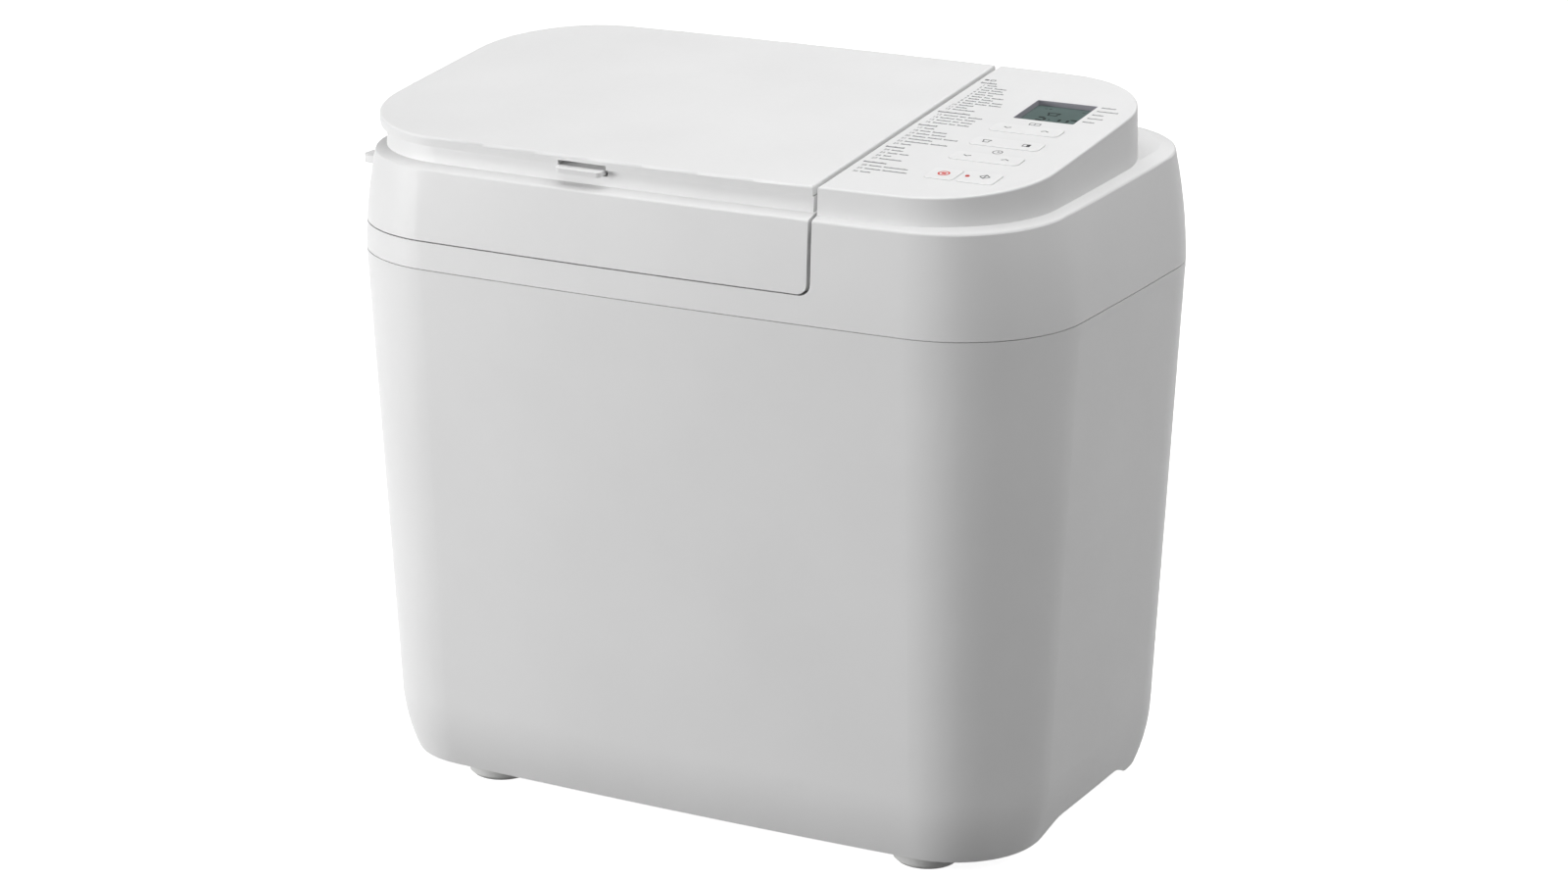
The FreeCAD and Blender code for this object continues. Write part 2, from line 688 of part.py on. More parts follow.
for name, x, width in zip(push_names, push_xs, push_ws):
    key = new_body(name)
    w = width / 2
    d = push_d / 2
    pad(key, body_sketch(key, "XY", -wall - 1.8, [soft_points(-w, w, -d, d, 2)]), wall + 1.8 + key_proud)
    rim = [box_points(-w - 0.6, w + 0.6, -d - 0.6, d + 0.6)]
    pad(key, body_sketch(key, "XY", -wall - 1.8, rim), 1.5)
    stem = board_drop - switch_h - wall - 1.8 - push_travel - 0.3
    pad(key, body_sketch(key, "XY", -wall - 1.8 - stem, (), [(0, 0, 2)]), stem)
    round_edges(key, key_round, on_key_top)
    if name == "start_key":
        lamp_u = lamp_in - w
        pocket(key, body_sketch(key, "XY", -1.2, (), [(lamp_u, 0, lamp_radius)]), 4)
    node(name, key, x, push_y, on_top(push_y), top_tilt)
lamp = prism("indicator_lens", -1.2, 0.8, (), [(lamp_u, 0, lamp_radius)])
node("indicator_lens", lamp, push_xs[1], push_y, on_top(push_y), top_tilt)

lap_x = glass_w / 2 + glass_lap
lap_y = glass_d / 2 + glass_lap
glass = prism("display_window", -wall - glass_t, -wall, [soft_points(-lap_x, lap_x, -lap_y, lap_y, 1.4)])
node("display_window", glass, glass_x, glass_y, on_top(glass_y), top_tilt)
module = prism("display_module", -board_drop, -wall - glass_t, [box_points(-lap_x, lap_x, -lap_y, lap_y)])
node("display_module", module, glass_x, glass_y, on_top(glass_y), top_tilt)
board = prism("control_board", -board_drop - board_thick, -board_drop, [box_points(-32, 22, -94, 50)])
node("control_board", board, key_x, 0, on_top(0), top_tilt)
switches = []
switch_spots = [(key_x + side * (key_w / 2 - 6), y) for y in rocker_ys for side in (-1, 1)]
switch_spots += [(x, push_y) for x in push_xs]
for i, (x, y) in enumerate(switch_spots):
    tip = prism(f"switch{i}", -board_drop, -board_drop + switch_h, [box_points(-3, 3, -3, 3)])
    switches.append(place(tip, x, y, on_top(y), top_tilt))
node("key_switches", group("key_switches", *switches))

# Baking chamber with its flange, sensor, fuse, heater and pan seat
bore_r = size("floor_bore", 9.5)
lead_y = size("heater_lead_y", 14.0)
lead_r = size("heater_lead_radius", 2.6)
tube_r = size("heater_tube_radius", 3.25)
heat_z = size("heater_height", 95.0)
heat_in = size("heater_clearance", 9.0)
sensor_r = size("sensor_radius", 4.0)
sensor_z = size("sensor_height", 150.0)
outer_can = prism("outer_can", chamber_z, deck_z + 0.4, [soft_points(c_x0, c_x1, -c_y1, c_y1, chamber_r)])
inner_can = prism("inner_can", chamber_z + sheet_t, FAR, [soft_points(
    c_x0 + sheet_t, c_x1 - sheet_t, -c_y1 + sheet_t, c_y1 - sheet_t, chamber_r - sheet_t)])
flange_w = size("flange_width", 8.0)
flange = prism("flange", deck_z, deck_z + 0.8, [soft_points(
    c_x0 - flange_w, c_x1 + flange_w, -c_y1 - flange_w, c_y1 + flange_w, chamber_r + flange_w)])
floor_hole = rod("floor_hole", bore_r, 10, chamber_x, 0, chamber_z - 3)
lead_holes = [
    rod(f"lead_hole{i}", lead_r, 20, c_x1 - 10, side * lead_y, heat_z, "X") for i, side in enumerate((-1, 1))
]
sensor_hole = rod("sensor_hole", sensor_r, 20, chamber_x, -c_y1 - 10, sensor_z, "Y")
can = fuse("can_joined", outer_can, flange)
node("baking_chamber", cut("baking_chamber", can, inner_can, floor_hole, sensor_hole, *lead_holes))
loop_points = soft_points(
    c_x0 + sheet_t + heat_in, c_x1 - sheet_t - heat_in, -c_y1 + sheet_t + heat_in, c_y1 - sheet_t - heat_in,
    chamber_r - heat_in,
)
loop_path = sketch_at("heater_path", loop_points, heat_z)
loop_cut = doc.addObject("Sketcher::SketchObject", "heater_cut")
ring(loop_cut, 0, 0, tube_r)
place(loop_cut, c_x0 + sheet_t + chamber_r, -c_y1 + sheet_t + heat_in, heat_z)
loop_cut.Placement.Rotation = FreeCAD.Rotation(FreeCAD.Vector(0, 1, 0), 90)
tube = doc.addObject("Part::Sweep", "heater_loop")
tube.Sections = [loop_cut]
loop_path.recompute(True)
tube.Spine = (loop_path, [f"Edge{i + 1}" for i in range(len(loop_path.Shape.Edges))])
tube.Solid = True
leads = [
    rod(f"lead{i}", lead_r, heat_in + sheet_t + 6, c_x1 - sheet_t - heat_in, side * lead_y, heat_z, "X")
    for i, side in enumerate((-1, 1))
]
node("heater_element", fuse("heater_element", tube, *leads))
clips = []
clip_y = c_y1 - sheet_t - heat_in
for i, (sx, sy) in enumerate([(-1, -1), (1, -1), (1, 1), (-1, 1)]):
    x = chamber_x + sx * 40
    y = sy * clip_y
    post = block(f"clip_post{i}", x - 4, x + 4, y - 5, y + 5, chamber_z + sheet_t, heat_z)
    groove = rod(f"clip_groove{i}", tube_r, 20, x - 10, y, heat_z, "X")
    clips.append(cut(f"clip{i}", post, groove))
node("heater_clips", group("heater_clips", *clips))
sensor = turned("temperature_sensor", [
    (0, 0), (sensor_r + 3, 0), (sensor_r + 3, 4), (sensor_r, 4), (sensor_r, 20), (0, 20)])
node("temperature_sensor", sensor, chamber_x, -c_y1 - 4, sensor_z, dim(-90))
fuse_box = block("thermal_fuse", c_x1, c_x1 + 7, -9, 9, heat_z + 45, heat_z + 57)
nodes["thermal_fuse"] = fuse_box
fuse_box.Label = "thermal_fuse"
place(fuse_box, c_x1 + shift_x, dim(-9) + shift_y, heat_z + 45)

# Pan seat, with three bayonet lugs
seat_r = size("seat_radius", 48.0)
seat_wall = size("seat_wall", 5.0)
seat_h = size("seat_height", 12.0)
lug_in = size("lug_reach", 3.0)
seat_z = chamber_z + sheet_t
seat_bore = seat_r - seat_wall
seat_ring = prism("seat_ring", seat_z, seat_z + seat_h, (), [(0, 0, seat_r), (0, 0, seat_bore)])
seat_foot = prism("seat_foot", seat_z, seat_z + 1.5, (), [(0, 0, seat_r), (0, 0, 26)])


def lugs(tag, r0, r1, half, z0, z1):
    made = []
    for i in range(3):
        lug = prism(f"{tag}{i}", z0, z1, [box_points(r0, r1, -half, half)])
        lug.Placement = FreeCAD.Placement(
            FreeCAD.Vector(0, 0, 0), FreeCAD.Rotation(FreeCAD.Vector(0, 0, 1), 30 + 120 * i))
        made.append(lug)
    return made


seat_lugs = lugs("seat_lug", seat_bore - lug_in, seat_bore + 1, 2.6, seat_z + seat_h - 4, seat_z + seat_h)
node("pan_seat", fuse("pan_seat", seat_ring, seat_foot, *seat_lugs), chamber_x)

# Bread pan, its foot, bush and bail handle
pan_w = size("pan_width", 162.0)
pan_d = size("pan_depth", 124.0)
pan_r = size("pan_corner", 35.0)
pan_h = size("pan_height", 128.0)
pan_lift = size("pan_lift", 23.0)
pan_t = size("pan_thickness", 1.5)
pan_draft = size("pan_draft", 5.0)
pan_lip = size("pan_lip", 2.5)
ear_drop = size("pan_ear_drop", 11.0)
wire_r = size("wire_radius", 2.0)
bail = size("bail_length", 70.0)
pan_z = seat_z + pan_lift
pan_top = pan_z + pan_h


def pan_section(tag, inset, z):
    points = soft_points(
        inset - pan_w / 2, pan_w / 2 - inset, inset - pan_d / 2, pan_d / 2 - inset, pan_r - inset)
    return sketch_at(tag, points, z)


pan_outer = loft("pan_outer", [pan_section("po0", pan_draft, pan_z), pan_section("po1", dim(0), pan_top)], True)
pan_inner = loft("pan_inner", [
    pan_section("pi0", pan_draft + pan_t, pan_z + pan_t), pan_section("pi1", pan_t - 0.04, pan_top + 1)], True)
pan_soft = fillet("pan_soft", pan_outer, 5, lambda e: abs(e.CenterOfMass.z - pan_z.value) < 0.01)
lip_out = prism("pan_lip", pan_top - 2, pan_top, [soft_points(
    -pan_w / 2 - pan_lip, pan_w / 2 + pan_lip, -pan_d / 2 - pan_lip, pan_d / 2 + pan_lip, pan_r + pan_lip)])
bail_z = pan_top - ear_drop
pan_ears = []
pan_bores = []
for i, side in enumerate((-1, 1)):
    x0 = side * (pan_w / 2) - 1.4
    pan_ears.append(block(f"pan_ear{i}", x0, x0 + 2.8, -7, 7, bail_z - 7, pan_top - 1))
    pan_bores.append(rod(f"pan_bore{i}", wire_r + run_fit, 14, x0 - 5.6, 0, bail_z, "X"))
bush_r = size("bush_radius", 8.0)
bush_hole = rod("bush_hole", bush_r, 10, 0, 0, pan_z - 4)
pan_solid = fuse("pan_joined", pan_soft, lip_out, *pan_ears)
node("bread_pan", cut("bread_pan", pan_solid, pan_inner, bush_hole, *pan_bores), chamber_x)
foot_r = seat_bore - lug_in - 1.0
pan_ring = prism("pan_ring", seat_z + 1.8, pan_z, (), [(0, 0, foot_r), (0, 0, foot_r - 4)])
pan_lugs = lugs("pan_lug", foot_r - 2, seat_bore - 0.6, 2.2, seat_z + 1.8, seat_z + seat_h - 4.3)
node("pan_base", fuse("pan_base", pan_ring, *pan_lugs), chamber_x)
shaft_r = size("blade_shaft_radius", 4.0)
bush = turned("pan_bush", [
    (shaft_r + run_fit, pan_z - 3), (bush_r, pan_z - 3), (bush_r, pan_z + pan_t), (bush_r + 3, pan_z + pan_t),
    (bush_r + 3, pan_z + pan_t + 2), (shaft_r + run_fit, pan_z + pan_t + 2),
])
node("pan_bush", bush, chamber_x)
arm_x = pan_w / 2 + pan_lip + size("bail_clearance", 0.9) + wire_r
bend = size("bail_bend", 20.0)
tight = size("bail_hook", 3.0)
tip_x = pan_w / 2 - 1.0
wire_points = [
    (-tip_x, 0), (-arm_x + tight, 0, -arm_x + tight, -tight), (-arm_x, -tight),
    (-arm_x, bend - bail, bend - arm_x, bend - bail), (bend - arm_x, -bail),
    (arm_x - bend, -bail, arm_x - bend, bend - bail), (arm_x, bend - bail),
    (arm_x, -tight, arm_x - tight, -tight), (arm_x - tight, 0), (tip_x, 0),
]
wire_path = doc.addObject("Sketcher::SketchObject", "wire_path")
outline(wire_path, wire_points, False)
place(wire_path, 0, 0, bail_z)
wire_cut = doc.addObject("Sketcher::SketchObject", "wire_cut")
ring(wire_cut, 0, 0, wire_r)
place(wire_cut, -tip_x, 0, bail_z)
wire_cut.Placement.Rotation = FreeCAD.Rotation(FreeCAD.Vector(0, 1, 0), 90)
wire = doc.addObject("Part::Sweep", "pan_handle")
wire.Sections = [wire_cut]
wire_path.recompute(True)
wire.Spine = (wire_path, [f"Edge{i + 1}" for i in range(len(wire_path.Shape.Edges))])
wire.Solid = True
node("pan_handle", wire, chamber_x)

# Kneading blade, its shaft and the two dog couplings
dog_z = size("dog_level", 9.0)
drive_top = seat_z + dog_z
disc_r = size("dog_disc_radius", 23.0)
dog_h = size("dog_height", 5.6)


def dogs(tag, z0, z1, along_x):
    made = []
    for i, side in enumerate((-1, 1)):
        x0 = -disc_r + 1 if side < 0 else disc_r - 9
        loop = box_points(x0, x0 + 8, -4, 4) if along_x else box_points(-4, 4, x0, x0 + 8)
        made.append(prism(f"{tag}{i}", z0, z1, [loop]))
    return made


blade_z = pan_z + pan_t + 2.4
blade_h = size("blade_height", 32.0)
blade_l = size("blade_length", 52.0)
hub = prism("blade_hub", blade_z, blade_z + blade_h, (), [(0, 0, 8.5)])
wing = prism("blade_wing", -2.5, 2.5, [[
    (0, blade_z), (blade_l - 6, blade_z, blade_l - 6, blade_z + 6), (blade_l, blade_z + 6),
    (blade_l - 4, blade_z + blade_h * 0.7), (6, blade_z + blade_h * 0.92), (0, blade_z + blade_h * 0.92),
]], plane="XZ")
wing_soft = round_edges(wing, 1.8, lambda e: abs(abs(e.CenterOfMass.y) - 2.5) < 0.01 and e.CenterOfMass.x > 8)
hub_soft = round_edges(hub, 3.0, lambda e: abs(e.CenterOfMass.z - (blade_z + blade_h).value) < 0.01)
hub_bore = rod("hub_bore", shaft_r, blade_h - 6, 0, 0, blade_z)
node("kneading_blade", cut("kneading_blade", fuse("blade_joined", hub_soft, wing_soft), hub_bore), chamber_x)
mate_z = drive_top + dog_h + 0.5
spindle = prism("blade_shaft", mate_z, blade_z + blade_h - 6, (), [(0, 0, shaft_r)])
node("blade_shaft", spindle, chamber_x)
mate = prism("mate_disc", mate_z, mate_z + 2.4, (), [(0, 0, disc_r), (0, 0, shaft_r)])
node("pan_coupling", fuse("pan_coupling", mate, *dogs("mate_dog", drive_top + 0.5, mate_z + 1, False)), chamber_x)
drive_r = size("drive_shaft_radius", 5.0)
belt_z = size("belt_level", 35.0)
pulley_r = size("large_pulley_radius", 48.0)
nose_r = size("motor_pulley_radius", 9.0)
pulley_h = size("pulley_height", 12.0)
drive_disc = prism("drive_disc", drive_top - 3, drive_top, (), [(0, 0, disc_r), (0, 0, drive_r)])
drive_hub = prism("drive_hub", drive_top - 6, drive_top - 2, (), [(0, 0, 9), (0, 0, drive_r)])
node("drive_coupling", fuse("drive_coupling", drive_disc, drive_hub, *dogs("dog", drive_top - 1, drive_top + dog_h, True)),
     chamber_x)
pulley_0 = belt_z - pulley_h / 2
pulley_1 = belt_z + pulley_h / 2
shaft = prism("drive_shaft", pulley_0 - 3, drive_top, (), [(0, 0, drive_r)])
node("drive_shaft", shaft, chamber_x)
bear_0 = pulley_1 + 2.4
bearing = turned("drive_bearing", [
    (drive_r + run_fit, bear_0), (9, bear_0), (9, chamber_z - 4), (24, chamber_z - 4), (24, chamber_z),
    (bore_r, chamber_z), (bore_r, chamber_z + 1.5), (drive_r + run_fit, chamber_z + 1.5),
])
node("drive_bearing", bearing, chamber_x)
pulley = turned("drive_pulley", [
    (drive_r, pulley_0), (pulley_r + 2, pulley_0), (pulley_r + 2, pulley_0 + 1.6), (pulley_r, pulley_0 + 2.4),
    (pulley_r, pulley_1 - 2.4), (pulley_r + 2, pulley_1 - 1.6), (pulley_r + 2, pulley_1), (pulley_r - 6, pulley_1),
    (pulley_r - 6, pulley_0 + 4), (13, pulley_0 + 4), (13, pulley_1 + 2), (drive_r, pulley_1 + 2),
])
node("drive_pulley", pulley, chamber_x)
clip_ring = prism("shaft_circlip", pulley_0 - 1.2, pulley_0, (), [(0, 0, 8.5), (0, 0, drive_r)])
node("shaft_circlip", clip_ring, chamber_x)

# Motor, its bracket, shaft and pulley, and the belt
motor_x = half_w - size("motor_inset", 80.7)
motor_r = size("motor_radius", 40.0)
motor_h = size("motor_height", 88.0)
bracket_z = size("bracket_level", 46.0)
bracket_t = size("bracket_thick", 2.5)
motor_z = bracket_z + bracket_t
rotor_r = size("motor_shaft_radius", 4.0)
belt_gap = size("belt_gap", 0.3)
belt_t = size("belt_thick", 1.6)
tray_plate = prism("bracket_plate", bracket_z, motor_z, [soft_points(-44, 44, -44, 44, 4)], [(0, 0, 14)])
legs = [
    block(f"bracket_leg{i}", sx * 39 - 4, sx * 39 + 4, sy * 39 - 4, sy * 39 + 4, plate_top, motor_z - 1)
    for i, (sx, sy) in enumerate([(-1, -1), (1, -1), (1, 1), (-1, 1)])
]
node("motor_bracket", fuse("motor_bracket", tray_plate, *legs), motor_x)
motor = turned("motor", [
    (rotor_r + run_fit, motor_z), (motor_r, motor_z), (motor_r, motor_z + motor_h - 3),
    (motor_r - 3, motor_z + motor_h), (12, motor_z + motor_h), (12, motor_z + motor_h + 6), (0, motor_z + motor_h + 6),
    (0, motor_z + 14), (rotor_r + run_fit, motor_z + 14),
])
node("motor", motor, motor_x)
rotor = prism("motor_shaft", pulley_0 - 2, motor_z + 13.5, (), [(0, 0, rotor_r)])
node("motor_shaft", rotor, motor_x)
nose = turned("motor_pulley", [
    (rotor_r, pulley_0), (nose_r + 2, pulley_0), (nose_r + 2, pulley_0 + 1.6), (nose_r, pulley_0 + 2.4),
    (nose_r, pulley_1 - 2.4), (nose_r + 2, pulley_1 - 1.6), (nose_r + 2, pulley_1), (rotor_r, pulley_1),
])
node("motor_pulley", nose, motor_x)


def belt_loop(tag, grow):
    far = motor_x - chamber_x
    big = pulley_r + grow
    small = nose_r + grow
    lean = keep(tag + "_lean", (big - small) / far)
    flat = keep(tag + "_flat", root(1 - lean * lean))
    return [
        (big * lean, -big * flat), (far + small * lean, -small * flat, far, 0),
        (far + small * lean, small * flat), (big * lean, big * flat, 0, 0), (-big, 0, 0, 0),
    ]


belt = prism("drive_belt", belt_z - 3.2, belt_z + 3.2, [
    belt_loop("belt_out", belt_gap + belt_t), belt_loop("belt_in", belt_gap)])
node("drive_belt", belt, chamber_x)

# Power board and cord gland
pcb_z = plate_top + stand_h
pcb = prism("power_board", pcb_z, pcb_z + board_thick, [box_points(
    board_x0, board_x0 + board_w, board_y0, board_y0 + board_d)])
node("power_board", pcb)
relay = prism("relay", pcb_z + board_thick, pcb_z + board_thick + 16, [box_points(
    board_x0 + 8, board_x0 + 28, board_y0 + 8, board_y0 + 24)])
node("relay", relay)
cap_y = board_y0 + 18
capacitor = turned("capacitor", [(0, 0), (9, 0), (9, 24), (7.5, 25.5), (0, 25.5)])
node("capacitor", capacitor, board_x0 + 48, cap_y, pcb_z + board_thick)
gland_y = half_d - low_inset(gland_z) + 0.9
gland = turned("cord_gland", [
    (3.5, 0), (gland_radius + 2, 0), (gland_radius + 2, 1.6), (gland_radius, 1.6), (gland_radius, 14), (3.5, 14),
])
node("cord_gland", gland, gland_x, gland_y, gland_z, dim(90))

# Main lid: shell, liner, screws, seal, ingredient tray, flap and solenoid
lid_z = deck_z + lid_gap
lid_wall = size("lid_wall", 2.4)
cover_t = size("cover_thickness", 5.0)
cover_gap = size("cover_gap", 0.6)
drum_side = size("drum_side_inset", 5.0)
drum_end = size("drum_end_inset", 2.0)
cover_right = lid_right - size("cover_setback", 1.0)
seal_out = size("seal_overlap", 5.0)
post_x = chamber_w / 2 + seal_out + size("lid_post_ease", 4.2)
post_y = size("lid_post_y", 40.0)
liner_z = size("liner_lift", 1.4)
liner_t = size("liner_thick", 1.4)
tray_x = chamber_x - size("tray_offset", 6.0)
tray_w = size("tray_width", 100.0)
tray_d = size("tray_depth", 100.0)
tab_x = (split_x - half_w) / 2 + size("tab_offset", 12.5)
tab_w = size("tab_width", 25.4)
tab_t = size("tab_thick", 2.4)
lid_box = side_region("lid_box", lid_right, lid_z, 5)
drum = common("drum", top_form("dr", drum_side, drum_end, cover_corner, cover_t + cover_gap, base_z, 1.0), block(
    "drum_box", -FAR, cover_right, -FAR, FAR, 0, 2 * FAR))
lid_solid = common("lid_solid", fuse("lid_full", tall_form, drum), lid_box)
drum_hollow = top_form(
    "dh", drum_side + lid_wall, drum_end + lid_wall, cover_corner, cover_t + cover_gap + lid_wall, base_z - 30, 1.0
)
lid_inside = common("lid_inside", fuse("lid_void", tall_inner, drum_hollow), block(
    "lid_left", -FAR, lid_right - lid_wall - 2, -FAR, FAR, 0, 2 * FAR))
tray_hole = prism("tray_hole", deck_z, 2 * FAR, [soft_points(
    tray_x - tray_w / 2, tray_x + tray_w / 2, -tray_d / 2, tray_d / 2, 8)])
liner_top = lid_z + liner_z + liner_t
posts = []
post_holes = []
lid_screws = []
for i, (sx, sy) in enumerate([(-1, -1), (1, -1), (1, 1), (-1, 1)]):
    x = chamber_x + sx * post_x
    y = sy * post_y
    posts.append(rod(f"lid_post{i}", 4.5, FAR, x, y, liner_top))
    post_holes.append(rod(f"lid_post_hole{i}", screw_hole, 10, x, y, liner_top - 1))
    low = liner_top - liner_t
    shape = [
        (0, low - 1), (3.4, low - 1), (3.4, low), (screw_hole, low), (screw_hole, liner_top + 9), (0, liner_top + 9),
    ]
    lid_screws.append(place(turned(f"lid_screw{i}", shape), x, y, 0))
lid_posts = common("lid_posts", fuse("lid_post_set", *posts), lid_solid)
lip_z = rim_z - size("lip_drop", 19.4)
lip_half = size("lip_half_length", 60.0)
lip = prism("lid_lip", lip_z, lip_z + size("lip_thick", 4.0), [soft_points(
    -half_w - lip_reach, -half_w + 14, -lip_half, lip_half, 6)])
lip_edge = cut("lip_edge", lip, common("lip_in", tall_inner, block("lip_block", -FAR, 0, -FAR, FAR, 0, 2 * FAR)))
tab_notch = prism("tab_notch", -cover_t - tab_t - 1, -cover_t + 2, [box_points(
    tab_x - tab_w / 2 - 1, tab_x + tab_w / 2 + 1, -top_depth / 2 - top_back - 12, -top_depth / 2 - top_back + 17)])
place(tab_notch, 0, 0, top_z, top_tilt)

# Cover hinge on the lid's rear shoulder
swing_y = top_depth / 2 - top_back + 7.5
arm_drop = size("cover_arm_drop", 4.4)
swing_z = on_top(swing_y) - cover_t - arm_drop
swing_r = size("cover_barrel_radius", 3.6)
swing_pin = size("cover_pin_radius", 1.5)
swing_xs = (size("cover_hinge_left_inset", 75.7) - half_w, split_x - size("cover_hinge_right_inset", 68.5))
towers = []
tower_holes = []
cover_arms = []
arm_holes = []
arm_rooms = []
arm_front = top_depth / 2 - top_back - 3
cover_pins = []
for i, sx in enumerate(swing_xs):
    for j, side in enumerate((-1, 1)):
        x0 = sx + side * (8 + side_gap) + (0 if side > 0 else -7)
        towers.append(block(f"tower{i}{j}", x0, x0 + 7, swing_y - 3.4, swing_y + 3.4, on_rim(swing_y) - 2, swing_z))
        towers.append(rod(f"tower_top{i}{j}", swing_r, 7, x0, swing_y, swing_z, "X"))
    span = 30 + 2 * side_gap
    tower_holes.append(rod(f"tower_hole{i}", swing_pin, span, sx - span / 2, swing_y, swing_z, "X"))
    cover_pins.append(rod(f"cover_pin{i}", swing_pin, span, sx - span / 2, swing_y, swing_z, "X"))
    cover_arms.append(rod(f"cover_barrel{i}", swing_r, 16, sx - 8, swing_y, swing_z, "X"))
    cover_arms.append(place(prism(f"cover_arm{i}", -cover_t - arm_drop, -cover_t + 0.8, [box_points(
        sx - 8, sx + 8, arm_front, swing_y)]), 0, 0, top_z, top_tilt))
    arm_rooms.append(place(prism(f"arm_room{i}", -cover_t - arm_drop - cover_gap, 0, [box_points(
        sx - 8 - side_gap, sx + 8 + side_gap, arm_front - cover_gap, swing_y)]), 0, 0, top_z, top_tilt))
    arm_holes.append(rod(f"arm_hole{i}", swing_pin + run_fit, 16, sx - 8, swing_y, swing_z, "X"))
node("cover_hinge_pins", group("cover_hinge_pins", *cover_pins))
lid_cut = cut("lid_cut", lid_solid, lid_inside)
lid_joined = fuse("lid_joined", lid_cut, lid_posts, lip_edge, *lid_knuckles, *towers)
node("lid_shell", cut("lid_shell", lid_joined, tray_hole, tab_notch, *arm_rooms, *post_holes, *lid_holes, *tower_holes))
node("lid_screws", group("lid_screws", *lid_screws))
liner_x = post_x + 4.6
liner_y = chamber_d / 2 + seal_out + 3
flap_w = size("flap_width", 70.0)
flap_l = size("flap_length", 54.0)
flap_z = lid_z + 1.1
flap_pin = size("flap_pin_radius", 1.2)
flap_y = flap_l / 2 + 2
flap_axis = flap_z + 0.1
liner_holes = [(chamber_x + sx * post_x, sy * post_y, screw_hole + 0.2) for sx in (-1, 1) for sy in (-1, 1)]
liner = prism("lid_liner", liner_top - liner_t, liner_top, [
    soft_points(chamber_x - liner_x, chamber_x + liner_x, -liner_y, liner_y, chamber_r + 8),
    soft_points(tray_x - flap_w / 2 - 8, tray_x + flap_w / 2 + 8, -flap_l / 2 - 3, flap_l / 2 + 8, 3),
], liner_holes)
node("lid_liner", liner)
seal = prism("lid_seal", lid_z + 0.5, liner_top - liner_t, [
    soft_points(c_x0 - seal_out, c_x1 + seal_out, -c_y1 - seal_out, c_y1 + seal_out, chamber_r + seal_out),
    soft_points(c_x0 + 1, c_x1 - 1, -c_y1 + 1, c_y1 - 1, chamber_r - 1),
])
node("lid_seal", seal)
tray_floor = liner_top + 0.6
under_top = prism("under_top", -FAR / 4, -cover_t - cover_gap - lid_wall, [box_points(-FAR, FAR, -FAR, FAR)])
place(under_top, 0, 0, top_z, top_tilt)
t_x0 = tray_x - tray_w / 2
t_x1 = tray_x + tray_w / 2
t_y1 = tray_d / 2
tray_t = size("tray_wall", 2.0)
tray_tube = prism("tray_tube", tray_floor, 2 * FAR, [soft_points(
    t_x0 - tray_t, t_x1 + tray_t, -t_y1 - tray_t, t_y1 + tray_t, 8 + tray_t)])
tray_brim = prism("tray_brim", -cover_t - cover_gap - lid_wall - 2, FAR / 4, [soft_points(
    t_x0 - 9, t_x1 + 9, -t_y1 - 9, t_y1 + 9, 12)])
place(tray_brim, 0, 0, top_z, top_tilt)
tray_well = prism("tray_well", tray_floor + tray_t, 2 * FAR, [soft_points(t_x0, t_x1, -t_y1, t_y1, 8)])
tray_mouth = prism("tray_mouth", tray_floor - 1, tray_floor + 5, [soft_points(
    tray_x - flap_w / 2 + 4, tray_x + flap_w / 2 - 4, -flap_l / 2 + 4, flap_l / 2 - 4, 4)])
hang = []
hang_holes = []
for i, side in enumerate((-1, 1)):
    x0 = tray_x + side * (flap_w / 2 + 3) - 2.5
    hang.append(block(f"flap_lug{i}", x0, x0 + 5, flap_y - 3, flap_y + 3, flap_z - 2, tray_floor + 1))
    hang_holes.append(rod(f"flap_lug_hole{i}", flap_pin, 5, x0, flap_y, flap_axis, "X"))
tray_body = common("tray_body", fuse("tray_blank", tray_tube, tray_brim), under_top)
tray_cup = cut("tray_cup", tray_body, tray_well, tray_mouth)
node("ingredient_tray", cut("ingredient_tray", fuse("tray_joined", tray_cup, *hang), *hang_holes))
pin_span = flap_w + 11
node("flap_pin", rod("flap_pin", flap_pin, pin_span, 0, 0, 0, "X"), tray_x - pin_span / 2, flap_y, flap_axis,
     dim(90), (0, 1, 0))
flap_leaf = prism("flap_leaf", flap_z, flap_z + 1.8, [soft_points(
    tray_x - flap_w / 2, tray_x + flap_w / 2, -flap_l / 2, flap_y, 1.5)])
flap_roll = rod("flap_roll", 1.9, flap_w, tray_x - flap_w / 2, flap_y, flap_axis, "X")
flap_bore = rod("flap_bore", flap_pin + run_fit, flap_w, tray_x - flap_w / 2, flap_y, flap_axis, "X")
node("tray_flap", cut("tray_flap", fuse("flap_joined", flap_leaf, flap_roll), flap_bore))
coil_z = tray_floor + 8
solenoid = prism("tray_solenoid", coil_z, coil_z + 20, [soft_points(
    t_x1 + tray_t, t_x1 + tray_t + 26, -13, 13, 3)])
node("tray_solenoid", solenoid)

# Top cover: plate, tab, liner and seal
cover_points = crowned_points("cp", top_width / 2, top_depth / 2, cover_corner, -top_left, -top_back)
cover_slab = prism("cover_slab", -cover_t, 0, [cover_points])
place(cover_slab, 0, 0, top_z, top_tilt)
cover_side = block("cover_side", -FAR, cover_right, -FAR, FAR, 0, 2 * FAR)
cover_raw = common("cover_raw", cover_slab, cover_side)
tab_slot = prism("tab_slot", -cover_t - 1, -cover_t + 2.4, [box_points(
    tab_x - tab_w / 2 - 0.8, tab_x + tab_w / 2 + 0.8, -top_depth / 2 - top_back - 12, -top_depth / 2 - top_back + 7)])
place(tab_slot, 0, 0, top_z, top_tilt)
cover_joined = fuse("cover_joined", cut("cover_slit", cover_raw, tab_slot), *cover_arms)
node("top_cover", cut("top_cover", fillet("cover_plate", cover_joined, cover_round, above_top), *arm_holes))
tab_front = -top_depth / 2 - top_back - 4.6
